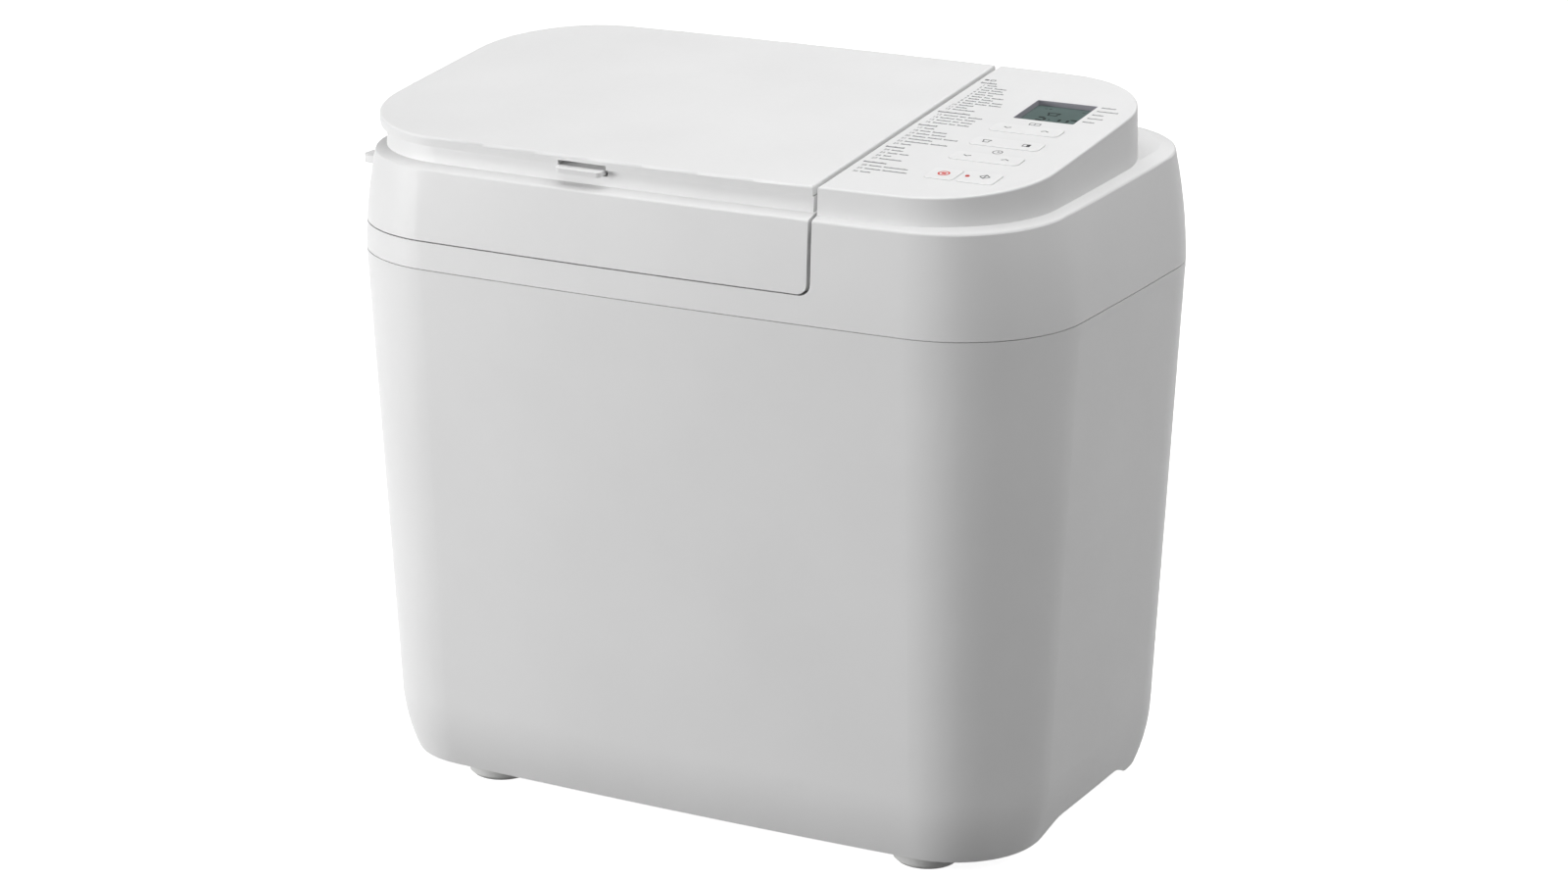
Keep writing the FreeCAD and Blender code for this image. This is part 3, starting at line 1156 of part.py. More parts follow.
tab = prism("cover_tab", -cover_t - tab_t, -cover_t, [soft_points(
    tab_x - tab_w / 2, tab_x + tab_w / 2, tab_front, tab_front + 21, 2.5)])
node("cover_tab", tab, 0, 0, top_z, top_tilt)
cover_liner = prism("cover_liner", -cover_t - 3.4, -cover_t, [soft_points(
    t_x0 + 7, t_x1 - 7, -t_y1 + 7, t_y1 - 7, 6)])
node("cover_liner", cover_liner, 0, 0, top_z, top_tilt)
cover_seal = prism("cover_seal", -cover_t - 2.6, -cover_t, [
    soft_points(t_x0 + 4, t_x1 - 4, -t_y1 + 4, t_y1 - 4, 8), soft_points(t_x0 + 7, t_x1 - 7, -t_y1 + 7, t_y1 - 7, 6)])
node("cover_seal", cover_seal, 0, 0, top_z, top_tilt)

doc.recompute()
for item in doc.Objects:
    if "Invalid" in item.State or "Error" in item.State:
        raise RuntimeError(f"{item.Label} did not build: {item.State}")
os.makedirs("parts", exist_ok=True)
for label, item in nodes.items():
    if item.Shape.isNull() or not item.Shape.isValid():
        raise RuntimeError(f"{label} has no valid shape")
    item.Shape.exportStep(f"parts/{label}.step")
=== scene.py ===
"""Bread machine looks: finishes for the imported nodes, printed marks, display and stage."""

import math

import bmesh
import bpy
from bpy.props import FloatProperty, FloatVectorProperty, PointerProperty
from mathutils import Matrix, Vector


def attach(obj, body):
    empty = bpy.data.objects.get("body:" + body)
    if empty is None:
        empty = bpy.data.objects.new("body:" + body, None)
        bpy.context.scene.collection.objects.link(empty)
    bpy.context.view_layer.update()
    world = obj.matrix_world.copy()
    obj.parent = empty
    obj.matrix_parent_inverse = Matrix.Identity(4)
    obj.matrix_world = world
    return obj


bl_info = {
    "name": "Bread Machine Looks",
    "version": (1, 0, 0),
    "blender": (4, 5, 0),
    "location": "View3D > Sidebar > Bread Machine",
    "description": "Finishes, printed marks, display and stage of a bread machine",
    "category": "Object",
}

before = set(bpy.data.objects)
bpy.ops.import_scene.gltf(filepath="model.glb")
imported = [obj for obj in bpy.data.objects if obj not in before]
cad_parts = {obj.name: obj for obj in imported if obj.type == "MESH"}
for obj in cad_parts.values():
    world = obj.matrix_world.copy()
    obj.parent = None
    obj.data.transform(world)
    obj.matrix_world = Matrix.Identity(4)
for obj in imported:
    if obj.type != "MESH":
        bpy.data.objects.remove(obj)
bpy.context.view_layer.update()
MILLIMETRES = Matrix.Scale(0.001, 4)

# Places on the panel in millimetres from its origin: columns run across, rows towards the back.
KEY_COLUMN = 141.7
MENU_ROW = -6.0
CRUST_ROW = -28.0
TIMER_ROW = -50.5
PUSH_ROW = -77.5
STOP_COLUMN = 132.5
START_COLUMN = 151.0
DISPLAY_COLUMN = 143.0
DISPLAY_ROW = 24.4
HEADING_COLUMN = 88.0
NUMBER_COLUMN = 92.0
WORD_COLUMN = 93.3
STAGE_COLUMN = 161.7
# Millimetres left free after a word, and the width of a sign's fine line.
WORD_GAP = 1.1
FINE_LINE = 0.48
# How far print reaches into its ground, in metres, so that no gap shows under it.
INK_SUNK = 0.00002
# Printed program list: each group's heading row and length, its first line's row, the step
# between lines, and the lengths of the words on each line, all in millimetres.
PROGRAM_GROUPS = (
    (55.1, 8.9, 51.5, 3.59, (
        (6.4,), (5.5, 7.8), (5.5, 7.4), (5.5, 9.5), (6.8, 4.2), (6.8, 4.2, 7.4),
        (7.0, 7.4), (7.0, 7.4, 6.8), (7.0, 7.4, 7.8), (8.9,), (7.2,), (13.1,),
    )),
    (6.7, 17.6, 2.4, 4.06, ((8.7, 4.5, 8.5), (8.7, 4.5, 7.0), (8.7, 4.5, 7.0), (8.7, 4.5, 7.4))),
    (-14.8, 10.2, -19.1, 4.20, (
        (6.6,), (6.6, 8.5), (8.1, 8.5), (8.1, 8.5, 8.5), (13.8,), (13.8, 10.0), (6.6,),
    )),
    (-49.7, 10.0, -54.1, 4.31, ((7.2,), (6.4, 5.9), (5.1,), (12.9,))),
    (-73.0, 12.3, -77.7, 4.63, ((7.8, 13.8), (9.5, 13.8), (6.6,))),
)
# Marks to the right of the display, one for each stage of a program: row and length.
STAGE_MARKS = ((37.7, 7.6), (32.1, 11.2), (26.4, 6.0), (20.8, 8.0), (15.1, 6.2))
# The point that the studio lamps face, then each lamp's place in metres, power in watts and width in metres.
LAMP_AIM = Vector((0.0, 0.0, 0.18))
STUDIO_LAMPS = {
    "top_light": ((0.0, 0.0, 2.4), 45.2, 2.5),
    "left_light": ((-1.8, -1.5, 0.45), 38.5, 1.0),
    "low_light": ((0.1, -1.9, 0.3), 5.4, 0.8),
    "right_light": ((1.6, -0.2, 1.5), 11.2, 1.2),
    "back_light": ((0.3, 1.6, 1.6), 7.5, 1.2),
}
# Display in millimetres from the middle of its window: the bezel's half width and half depth,
# then each figure's dark bars and left side, and the foot, width, height and bar of all figures.
BEZEL_HALF = (16.18, 14.88)
FIGURES = (("abcdg", -9.0), ("bc", -1.0), ("abcdef", 8.2))
FIGURE_FOOT = -10.6
FIGURE_WIDTH = 4.8
FIGURE_HEIGHT = 8.4
FIGURE_BAR = 1.5
# Soft edges of the mouldings: the turn below which an edge is left alone, the steps of a
# rounding, and the reach in metres within which loose corners are welded.
SHARP_ANGLE = math.radians(32.0)
EDGE_STEPS = 2
WELD_REACH = 0.000002
# Width of the camera's sensor in millimetres.
SENSOR_WIDTH = 36.0


class BreadMachineColours(bpy.types.PropertyGroup):
    """Colours a user would change."""

    casing: FloatVectorProperty(
        name="Casing", description="White of the casing, lid and cover", subtype="COLOR",
        default=(0.80, 0.80, 0.80))
    keys: FloatVectorProperty(
        name="Keys", description="White of the rockers and push keys", subtype="COLOR",
        default=(0.83, 0.83, 0.83))
    ink: FloatVectorProperty(
        name="Print", description="Grey ink of the panel's marks", subtype="COLOR",
        default=(0.10, 0.10, 0.105))
    sign_ink: FloatVectorProperty(
        name="Key print", description="Darker grey ink of the signs on the keys", subtype="COLOR",
        default=(0.05, 0.05, 0.053))
    red_ink: FloatVectorProperty(
        name="Stop print", description="Red ink of the stop sign", subtype="COLOR",
        default=(0.58, 0.035, 0.03))
    bezel: FloatVectorProperty(
        name="Display bezel", description="Lilac grey of the display's frame", subtype="COLOR",
        default=(0.36, 0.35, 0.39))
    display: FloatVectorProperty(
        name="Display", description="Grey green of the resting display", subtype="COLOR",
        default=(0.105, 0.150, 0.142))
    coating: FloatVectorProperty(
        name="Pan coating", description="Dark non-stick coating of the pan", subtype="COLOR",
        default=(0.045, 0.045, 0.048))
    floor: FloatVectorProperty(
        name="Floor", description="Pale floor under the machine", subtype="COLOR",
        default=(0.90, 0.90, 0.90))


class BreadMachineSizes(bpy.types.PropertyGroup):
    """Sizes of the marks, the display and the softened edges."""

    centre: FloatVectorProperty(
        name="Panel origin", description="Point of the sloping top that panel positions are measured from",
        subtype="TRANSLATION", unit="LENGTH", precision=5, default=(0.0065, -0.0065, 0.3586))
    tilt: FloatProperty(
        name="Panel tilt", description="Slope of the top", subtype="ANGLE", default=math.radians(6.0))
    key_proud: FloatProperty(
        name="Key height", description="How far the keys stand above the panel", unit="LENGTH", precision=5,
        default=0.0005)
    ink_lift: FloatProperty(
        name="Ink thickness", description="Thickness of a printed mark", unit="LENGTH", precision=6,
        default=0.00003)
    figure: FloatProperty(
        name="Figure height", description="Height of the list's numbers", unit="LENGTH", precision=5,
        default=0.0020)
    word: FloatProperty(
        name="Word height", description="Height of the marks that stand for a word",
        unit="LENGTH", precision=5, default=0.0014)
    display_depth: FloatProperty(
        name="Display depth", description="How deep the window's face lies", unit="LENGTH", precision=5,
        default=0.0026)
    edge: FloatProperty(
        name="Moulding edge", description="Softening of the mouldings' sharp edges",
        unit="LENGTH", precision=5, default=0.0005)


class BreadMachineStage(bpy.types.PropertyGroup):
    """Camera, floor and light."""

    camera: FloatVectorProperty(
        name="Camera", description="Where the camera stands",
        subtype="TRANSLATION", unit="LENGTH", precision=4, default=(0.95923, -1.76695, 0.80008))
    yaw: FloatProperty(
        name="Yaw", description="Turn of the view to the left of straight back", subtype="ANGLE",
        default=math.radians(28.281))
    pitch: FloatProperty(
        name="Pitch", description="How far the view looks down", subtype="ANGLE",
        default=math.radians(17.24))
    roll: FloatProperty(
        name="Roll", description="Lean of the view", subtype="ANGLE", default=math.radians(-0.031))
    lens: FloatProperty(
        name="Lens", description="Focal length on a 36 mm sensor", subtype="DISTANCE_CAMERA", default=94.03)
    floor_radius: FloatProperty(
        name="Floor radius", description="Reach of the floor", unit="LENGTH", default=9.0)
    floor_glow: FloatProperty(
        name="Floor glow", description="How far the floor shines by itself, towards a plain white ground",
        default=0.88, min=0.0)
    sky: FloatProperty(
        name="Sky", description="Brightness of the even light all round", default=0.053, min=0.0)
    light: FloatProperty(
        name="Light", description="Strength of the studio lamps, all together", default=1.0, min=0.0)


def colours():
    return bpy.context.scene.bread_machine_colours


def sizes():
    return bpy.context.scene.bread_machine_sizes


class Recipe:
    """A node material in the making, with its patterns on Object coordinates."""

    def __init__(self, name, **fixed):
        self.material = bpy.data.materials.new(name)
        self.material.use_nodes = True
        self.nodes = self.material.node_tree.nodes
        self.links = self.material.node_tree.links
        self.shader = self.nodes["Principled BSDF"]
        self.spot = self.nodes.new("ShaderNodeTexCoord").outputs["Object"]
        self.normal = None
        for socket, value in fixed.items():
            self.shader.inputs[socket.replace("_", " ").title().replace("Ior", "IOR")].default_value = value

    def stretched(self, scale):
        mapping = self.nodes.new("ShaderNodeMapping")
        mapping.inputs["Scale"].default_value = scale
        self.links.new(self.spot, mapping.inputs["Vector"])
        return mapping.outputs["Vector"]

    def noise(self, scale, detail=2.0, rough=0.5, where=None):
        node = self.nodes.new("ShaderNodeTexNoise")
        node.inputs["Scale"].default_value = scale
        node.inputs["Detail"].default_value = detail
        node.inputs["Roughness"].default_value = rough
        self.links.new(where or self.spot, node.inputs["Vector"])
        return node.outputs["Fac"]

    def cells(self, scale, feature="F1", out="Distance", where=None):
        node = self.nodes.new("ShaderNodeTexVoronoi")
        node.feature = feature
        node.inputs["Scale"].default_value = scale
        self.links.new(where or self.spot, node.inputs["Vector"])
        return node.outputs[out]

    def bands(self, scale, direction):
        node = self.nodes.new("ShaderNodeTexWave")
        node.bands_direction = direction
        node.inputs["Scale"].default_value = scale
        self.links.new(self.spot, node.inputs["Vector"])
        return node.outputs["Fac"]

    def ramp(self, fac, *stops):
        node = self.nodes.new("ShaderNodeValToRGB")
        for i, (place, colour) in enumerate(stops):
            stop = node.color_ramp.elements[i] if i < 2 else node.color_ramp.elements.new(place)
            stop.position = place
            stop.color = (*colour, 1.0)
        self.links.new(fac, node.inputs["Fac"])
        return node.outputs["Color"]

    def spread(self, fac, low, high, start=0.3, end=0.7):
        node = self.nodes.new("ShaderNodeMapRange")
        for socket, value in (("From Min", start), ("From Max", end), ("To Min", low), ("To Max", high)):
            node.inputs[socket].default_value = value
        self.links.new(fac, node.inputs["Value"])
        return node.outputs["Result"]

    def colour(self, socket):
        self.links.new(socket, self.shader.inputs["Base Color"])
        return self

    def rough(self, socket):
        self.links.new(socket, self.shader.inputs["Roughness"])
        return self

    def relief(self, fac, height, strength=1.0):
        node = self.nodes.new("ShaderNodeBump")
        node.inputs["Distance"].default_value = height
        node.inputs["Strength"].default_value = strength
        self.links.new(fac, node.inputs["Height"])
        if self.normal:
            self.links.new(self.normal, node.inputs["Normal"])
        self.normal = node.outputs["Normal"]
        self.links.new(self.normal, self.shader.inputs["Normal"])
        return self


def shade(colour, factor):
    return tuple(max(0.0, min(1.0, c * factor)) for c in colour)


def moulded_plastic(name, colour, rough=0.46, grain=0.000012, fleck=0.018):
    """Injection moulding with a fine eroded grain and a faint flow mottle."""
    recipe = Recipe(name)
    broad = recipe.noise(14.0, 3.0)
    fine = recipe.noise(1900.0, 2.0, 0.6)
    recipe.colour(recipe.ramp(broad, (0.3, shade(colour, 1 - fleck)), (0.7, shade(colour, 1 + fleck))))
    recipe.rough(recipe.spread(recipe.noise(420.0, 3.0), rough - 0.06, rough + 0.06))
    return recipe.relief(fine, grain).material


def brushed_metal(name, colour, rough=0.30, along=(30.0, 30.0, 1400.0), depth=0.000006):
    """Sheet or bar with fine parallel brushing."""
    recipe = Recipe(name, metallic=1.0)
    streak = recipe.noise(1.0, 3.0, 0.65, recipe.stretched(along))
    recipe.colour(recipe.ramp(streak, (0.3, shade(colour, 0.86)), (0.7, shade(colour, 1.06))))
    recipe.rough(recipe.spread(streak, rough - 0.07, rough + 0.10))
    return recipe.relief(streak, depth).material


def spangled_sheet(name, colour, rough=0.38):
    """Aluminised sheet with faint crystal spangle and handling haze."""
    recipe = Recipe(name, metallic=1.0)
    spangle = recipe.cells(260.0, out="Color")
    haze = recipe.noise(24.0, 5.0, 0.6)
    recipe.colour(recipe.ramp(spangle, (0.0, shade(colour, 0.84)), (1.0, shade(colour, 1.05))))
    recipe.rough(recipe.spread(haze, rough - 0.08, rough + 0.12))
    return recipe.relief(recipe.noise(900.0, 2.0), 0.000008).material


def non_stick(name, colour, fleck=(0.30, 0.30, 0.31)):
    """Dark baked coating with fine pale flecks and an orange-peel surface."""
    recipe = Recipe(name, specular_ior_level=0.5)
    flecks = recipe.cells(620.0)
    recipe.colour(recipe.ramp(flecks, (0.10, fleck), (0.19, colour), (1.0, shade(colour, 0.8))))
    recipe.rough(recipe.spread(recipe.noise(160.0, 4.0), 0.30, 0.44))
    return recipe.relief(recipe.noise(750.0, 2.0), 0.00002).material


def bare_wire(name, colour, rough=0.18):
    """Drawn and polished wire or turned bar with faint draw lines."""
    recipe = Recipe(name, metallic=1.0)
    lines = recipe.noise(340.0, 4.0, 0.6)
    recipe.colour(recipe.ramp(lines, (0.3, shade(colour, 0.90)), (0.7, shade(colour, 1.05))))
    recipe.rough(recipe.spread(lines, rough - 0.06, rough + 0.12))
    return recipe.relief(lines, 0.000005).material


def sheath_metal(name, colour):
    """Oxidised heater sheath, matt with a blue and straw heat tint."""
    recipe = Recipe(name, metallic=1.0)
    tint = recipe.noise(38.0, 3.0)
    recipe.colour(recipe.ramp(
        tint, (0.30, shade(colour, 0.75)), (0.70, (colour[0] * 1.15, colour[1] * 1.02, colour[2] * 0.86)),
        (0.50, (colour[0] * 0.88, colour[1] * 0.94, colour[2] * 1.10))))
    recipe.rough(recipe.spread(recipe.noise(500.0, 3.0), 0.48, 0.66))
    return recipe.relief(recipe.noise(1300.0, 2.0), 0.00001).material


def soft_rubber(name, colour, rough=0.72, grain=0.00003):
    """Matt rubber or silicone with a slightly dusty skin."""
    recipe = Recipe(name, specular_ior_level=0.35)
    dust = recipe.noise(70.0, 5.0, 0.6)
    recipe.colour(recipe.ramp(dust, (0.3, shade(colour, 0.92)), (0.7, shade(colour, 1.05))))
    recipe.rough(recipe.spread(dust, rough - 0.08, rough + 0.10))
    return recipe.relief(recipe.noise(1100.0, 2.0), grain).material


def ribbed_belt(name, colour):
    """Belt rubber with fine ribs along its run."""
    recipe = Recipe(name, specular_ior_level=0.35)
    ribs = recipe.bands(260.0, "Z")
    recipe.colour(recipe.ramp(ribs, (0.2, shade(colour, 0.7)), (0.8, shade(colour, 1.15))))
    recipe.rough(recipe.spread(recipe.noise(300.0, 3.0), 0.60, 0.80))
    return recipe.relief(ribs, 0.0003, 0.6).material


def circuit_laminate(name, colour):
    """Solder mask over copper tracks and a glass weave."""
    recipe = Recipe(name, coat_weight=0.25)
    tracks = recipe.cells(170.0, "DISTANCE_TO_EDGE", where=recipe.stretched((1.0, 1.0, 0.05)))
    recipe.colour(recipe.ramp(
        tracks, (0.00, shade(colour, 1.9)), (0.10, shade(colour, 1.7)), (0.14, colour),
        (1.0, shade(colour, 0.85))))
    recipe.rough(recipe.spread(recipe.noise(260.0, 2.0), 0.30, 0.42))
    return recipe.relief(tracks, 0.00004, 0.5).material


def display_film(name, colour):
    """Resting liquid-crystal film with its faint element grid."""
    recipe = Recipe(name, specular_ior_level=0.3)
    grid = recipe.bands(900.0, "X")
    haze = recipe.noise(60.0, 3.0)
    recipe.colour(recipe.ramp(haze, (0.3, shade(colour, 0.90)), (0.7, shade(colour, 1.08))))
    recipe.rough(recipe.spread(haze, 0.34, 0.44))
    return recipe.relief(grid, 0.000004, 0.5).material


def lamp_lens(name, colour):
    """Small red lens with a moulded diffuser grain."""
    recipe = Recipe(name, coat_weight=0.4)
    grain = recipe.noise(2600.0, 1.0)
    recipe.colour(recipe.ramp(grain, (0.3, shade(colour, 0.85)), (0.7, shade(colour, 1.1))))
    recipe.rough(recipe.spread(grain, 0.22, 0.34))
    return recipe.relief(grain, 0.00001).material


def printed_ink(name, colour):
    """Screen print: matt ink with a slightly open edge and fine pin texture."""
    recipe = Recipe(name, specular_ior_level=0.3)
    pins = recipe.noise(3200.0, 2.0)
    recipe.colour(recipe.ramp(pins, (0.25, shade(colour, 1.18)), (0.75, shade(colour, 0.92))))
    recipe.rough(recipe.spread(pins, 0.52, 0.66))
    return recipe.relief(pins, 0.000004).material


def stone_ceramic(name, colour):
    """Fired white ceramic with fine pores."""
    recipe = Recipe(name)
    pores = recipe.cells(900.0)
    recipe.colour(recipe.ramp(pores, (0.05, shade(colour, 0.72)), (0.22, colour)))
    recipe.rough(recipe.spread(recipe.noise(500.0, 2.0), 0.5, 0.66))
    return recipe.relief(pores, 0.00002, 0.5).material


def dress(names, material):
    """Give CAD nodes a finish through their own material slots."""
    for name in names:
        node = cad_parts[name]
        if not node.material_slots:
            node.data.materials.append(material)
        for slot in node.material_slots:
            slot.material = material


def soften(names, width):
    """Break the sharp edges of CAD nodes with live modifiers; their meshes stay as packed."""
    for name in names:
        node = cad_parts[name]
        weld = node.modifiers.new("weld", "WELD")
        weld.merge_threshold = WELD_REACH
        bevel = node.modifiers.new("soft_edges", "BEVEL")
        bevel.width = width
        bevel.segments = EDGE_STEPS
        bevel.profile = 0.5
        bevel.limit_method = "ANGLE"
        bevel.angle_limit = SHARP_ANGLE
        bevel.use_clamp_overlap = True
        bevel.loop_slide = False
        bevel.miter_outer = "MITER_ARC"
        smooth = node.modifiers.new("even_shading", "WEIGHTED_NORMAL")
        smooth.weight = 80
        smooth.keep_sharp = False


def panel_place(u, v, lift):
    """Places millimetre work on the sloping top, u across and v up the slope from the panel's origin."""
    s = sizes()
    return (Matrix.Translation(s.centre) @ Matrix.Rotation(s.tilt, 4, "X")
            @ Matrix.Translation((u * 0.001, v * 0.001, lift)) @ MILLIMETRES)


def hollow(mark, line):
    """Keeps only a line of that width along the rim of a flat mark."""
    inner = mark.faces[:]
    bmesh.ops.inset_region(mark, faces=inner, thickness=line, use_boundary=True, use_even_offset=True)
    bmesh.ops.delete(mark, geom=inner, context="FACES")


def bring(bm, mark):
    """Joins one bmesh into another."""
    held = bpy.data.meshes.new("held")
    mark.to_mesh(held)
    mark.free()
    bm.from_mesh(held)
    bpy.data.meshes.remove(held)


def stamp(bm, points, soft=0.0, line=0.0):
    """Adds a flat mark in millimetres: a filled outline, or a line of that width along it."""
    mark = bmesh.new()
    mark.faces.new([mark.verts.new((x, y, 0.0)) for x, y in points])
    mark.normal_update()
    if soft:
        bmesh.ops.bevel(
            mark, geom=mark.verts[:], offset=soft, segments=4, profile=0.5, affect="VERTICES", material=-1)
    if line:
        hollow(mark, line)
    bring(bm, mark)


def ringlet(bm, x, y, radius, line):
    """Adds a round line in millimetres, or a dot where the line is as wide as the radius."""
    mark = bmesh.new()
    bmesh.ops.create_circle(mark, cap_ends=True, segments=28, radius=radius)
    if line < radius:
        hollow(mark, line)
    bmesh.ops.translate(mark, vec=(x, y, 0), verts=mark.verts[:])
    bring(bm, mark)


def oblong(left, foot, right, top):
    """Corners of an upright oblong, as a stamp takes them."""
    return ((left, foot), (right, foot), (right, top), (left, top))


def dash(bm, x, y, length, height):
    """Adds a round-ended bar from x along the line at y."""
    stamp(bm, oblong(x, y - height / 2, x + length, y + height / 2), height * 0.35)


def words(bm, x, y, length, height):
    """Adds a row of small blocks as long as a printed word, every fourth one taller."""
    count = max(2, round(length / (height * 0.62)))
    step = length / count
    foot = y - height * 0.5
    for i in range(count):
        tall = height if i % 4 == 0 else height * 0.72
        left = x + i * step
        stamp(bm, oblong(left, foot, left + step * 0.74, foot + tall))


def chevron(bm, x, y, half, rise, line):
    """Adds an arrow head that points up for a positive rise."""
    way = 1 if rise > 0 else -1
    foot = y - rise / 2
    tip = y + rise / 2
    points = (
        (x - half, foot), (x, tip - line * way), (x + half, foot),
        (x + half + line * 0.6, foot + line * way), (x, tip), (x - half - line * 0.6, foot + line * way),
    )
    stamp(bm, points[::way])


def figure(bm, text, x, y, height):
    """Adds a number that ends at x, with its middle on the line at y."""
    curve = bpy.data.curves.new("figure", "FONT")
    curve.body = text
    curve.size = height * 1.42
    curve.resolution_u = 2
    curve.align_x = "RIGHT"
    holder = bpy.data.objects.new("figure", curve)
    mesh = bpy.data.meshes.new_from_object(holder)
    mesh.transform(Matrix.Translation((x, y - height / 2, 0.0)))
    bm.from_mesh(mesh)
    bpy.data.meshes.remove(mesh)
    bpy.data.objects.remove(holder)
    bpy.data.curves.remove(curve)


def pull(bm, height):
    """Extrudes every face along the third axis, and gives back the faces it started from."""
    flat = bm.faces[:]
    pulled = bmesh.ops.extrude_face_region(bm, geom=flat)["geom"]
    corners = [g for g in pulled if isinstance(g, bmesh.types.BMVert)]
    bmesh.ops.translate(bm, vec=(0, 0, height), verts=corners)
    return flat


def thicken(bm, height):
    """Turns flat marks into thin closed solids that stand on the zero level."""
    bmesh.ops.remove_doubles(bm, verts=bm.verts[:], dist=0.0005)
    for face in bm.faces:
        if face.normal.z < 0:
            face.normal_flip()
    bm.normal_update()
    flat = pull(bm, height)
    bmesh.ops.reverse_faces(bm, faces=[f for f in flat if f.is_valid])
    bmesh.ops.recalc_face_normals(bm, faces=bm.faces[:])


def settle(name, bm, place, body, material):
    """Makes the finished piece: its place goes into its mesh, and it rides on a body."""
    bm.transform(place)
    mesh = bpy.data.meshes.new(name)
    bm.to_mesh(mesh)
    bm.free()
    mesh.materials.append(material)
    piece = bpy.data.objects.new(name, mesh)
    bpy.context.scene.collection.objects.link(piece)
    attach(piece, body)


def print_on(name, bm, u, v, lift, body, material):
    """Prints flat marks on the panel or on a key."""
    thicken(bm, (sizes().ink_lift + INK_SUNK) * 1000)
    settle(name, bm, panel_place(u, v, lift - INK_SUNK), body, material)


class BREADMACHINE_OT_shells(bpy.types.Operator):
    """Finish the casing, lid, cover and their small mouldings in satin white plastic"""

    bl_idname = "bread_machine.shells"
    bl_label = "White mouldings"

    def execute(self, context):
        white = moulded_plastic("casing_white", colours().casing)
        dress(("lower_casing", "upper_casing"), white)
        dress(("lid_shell",), moulded_plastic("lid_white", colours().casing))
        dress(("top_cover", "cover_tab"), moulded_plastic("cover_white", shade(colours().casing, 1.01)))
        return {"FINISHED"}


class BREADMACHINE_OT_base(bpy.types.Operator):
    """Finish the base plate, feet, screws and cord gland"""

    bl_idname = "bread_machine.base"
    bl_label = "Base and feet"

    def execute(self, context):
        dress(("base_plate",), moulded_plastic("base_grey", (0.46, 0.46, 0.47), 0.55, 0.00002))
        dress(("feet",), soft_rubber("foot_rubber", (0.74, 0.74, 0.73)))
        dress(("base_screws", "lid_screws"), bare_wire("screw_steel", (0.60, 0.59, 0.57), 0.30))
        dress(("cord_gland",), soft_rubber("gland_grey", (0.32, 0.32, 0.33)))
        return {"FINISHED"}


class BREADMACHINE_OT_chamber(bpy.types.Operator):
    """Finish the baking chamber, heater, sensor, pan seat and hinge pins"""

    bl_idname = "bread_machine.chamber"
    bl_label = "Baking chamber"

    def execute(self, context):
        dress(("baking_chamber", "pan_seat"), spangled_sheet("chamber_steel", (0.66, 0.66, 0.65)))
        dress(("heater_element",), sheath_metal("heater_steel", (0.24, 0.23, 0.22)))
        dress(("heater_clips", "temperature_sensor"), brushed_metal("sensor_steel", (0.58, 0.58, 0.57)))
        dress(("thermal_fuse",), stone_ceramic("fuse_white", (0.78, 0.76, 0.72)))
        dress(("lid_hinge_pins", "cover_hinge_pins", "flap_pin"), bare_wire("pin_steel", (0.62, 0.62, 0.62)))
        dress(("lid_liner", "cover_liner"), spangled_sheet("liner_steel", (0.70, 0.70, 0.69), 0.32))
        dress(("lid_seal", "cover_seal"), soft_rubber("seal_silicone", (0.60, 0.59, 0.57), 0.6))
        return {"FINISHED"}


class BREADMACHINE_OT_pan(bpy.types.Operator):
    """Finish the bread pan, its handle, the blade and the ingredient tray"""

    bl_idname = "bread_machine.pan"
    bl_label = "Bread pan and tray"

    def execute(self, context):
        dress(("bread_pan", "kneading_blade"), non_stick("pan_coating", colours().coating))
        dress(("pan_base",), spangled_sheet("pan_metal", (0.60, 0.60, 0.60), 0.46))
        dress(("pan_bush", "drive_bearing"), bare_wire("bush_brass", (0.64, 0.47, 0.24), 0.30))
        dress(("pan_handle",), bare_wire("handle_steel", (0.72, 0.72, 0.72), 0.14))
        dress(("ingredient_tray", "tray_flap"),
              non_stick("tray_coating", (0.09, 0.09, 0.095), (0.22, 0.22, 0.23)))
        turned = (
            "blade_shaft", "pan_coupling", "drive_shaft", "drive_coupling", "shaft_circlip", "motor_shaft",
        )
        dress(turned, brushed_metal("shaft_steel", (0.56, 0.56, 0.57), 0.28, (900.0, 900.0, 40.0)))
        return {"FINISHED"}


class BREADMACHINE_OT_drive(bpy.types.Operator):
    """Finish the motor, belt, pulleys and circuit boards"""

    bl_idname = "bread_machine.drive"
    bl_label = "Drive and boards"

    def execute(self, context):
        dress(("drive_pulley", "motor_pulley"),
              moulded_plastic("pulley_plastic", (0.10, 0.10, 0.11), 0.5, 0.00002))
        dress(("drive_belt",), ribbed_belt("belt_rubber", (0.035, 0.035, 0.037)))
        dress(("motor", "tray_solenoid"), brushed_metal("motor_metal", (0.50, 0.50, 0.49), 0.40))
        dress(("motor_bracket",), spangled_sheet("bracket_steel", (0.58, 0.58, 0.56), 0.42))
        dress(("power_board", "control_board"), circuit_laminate("board_green", (0.03, 0.14, 0.06)))
        dress(("relay", "key_switches"), moulded_plastic("part_black", (0.035, 0.035, 0.037), 0.42, 0.00001))
        dress(("capacitor",), moulded_plastic("sleeve_blue", (0.05, 0.09, 0.24), 0.34, 0.000006))
        return {"FINISHED"}


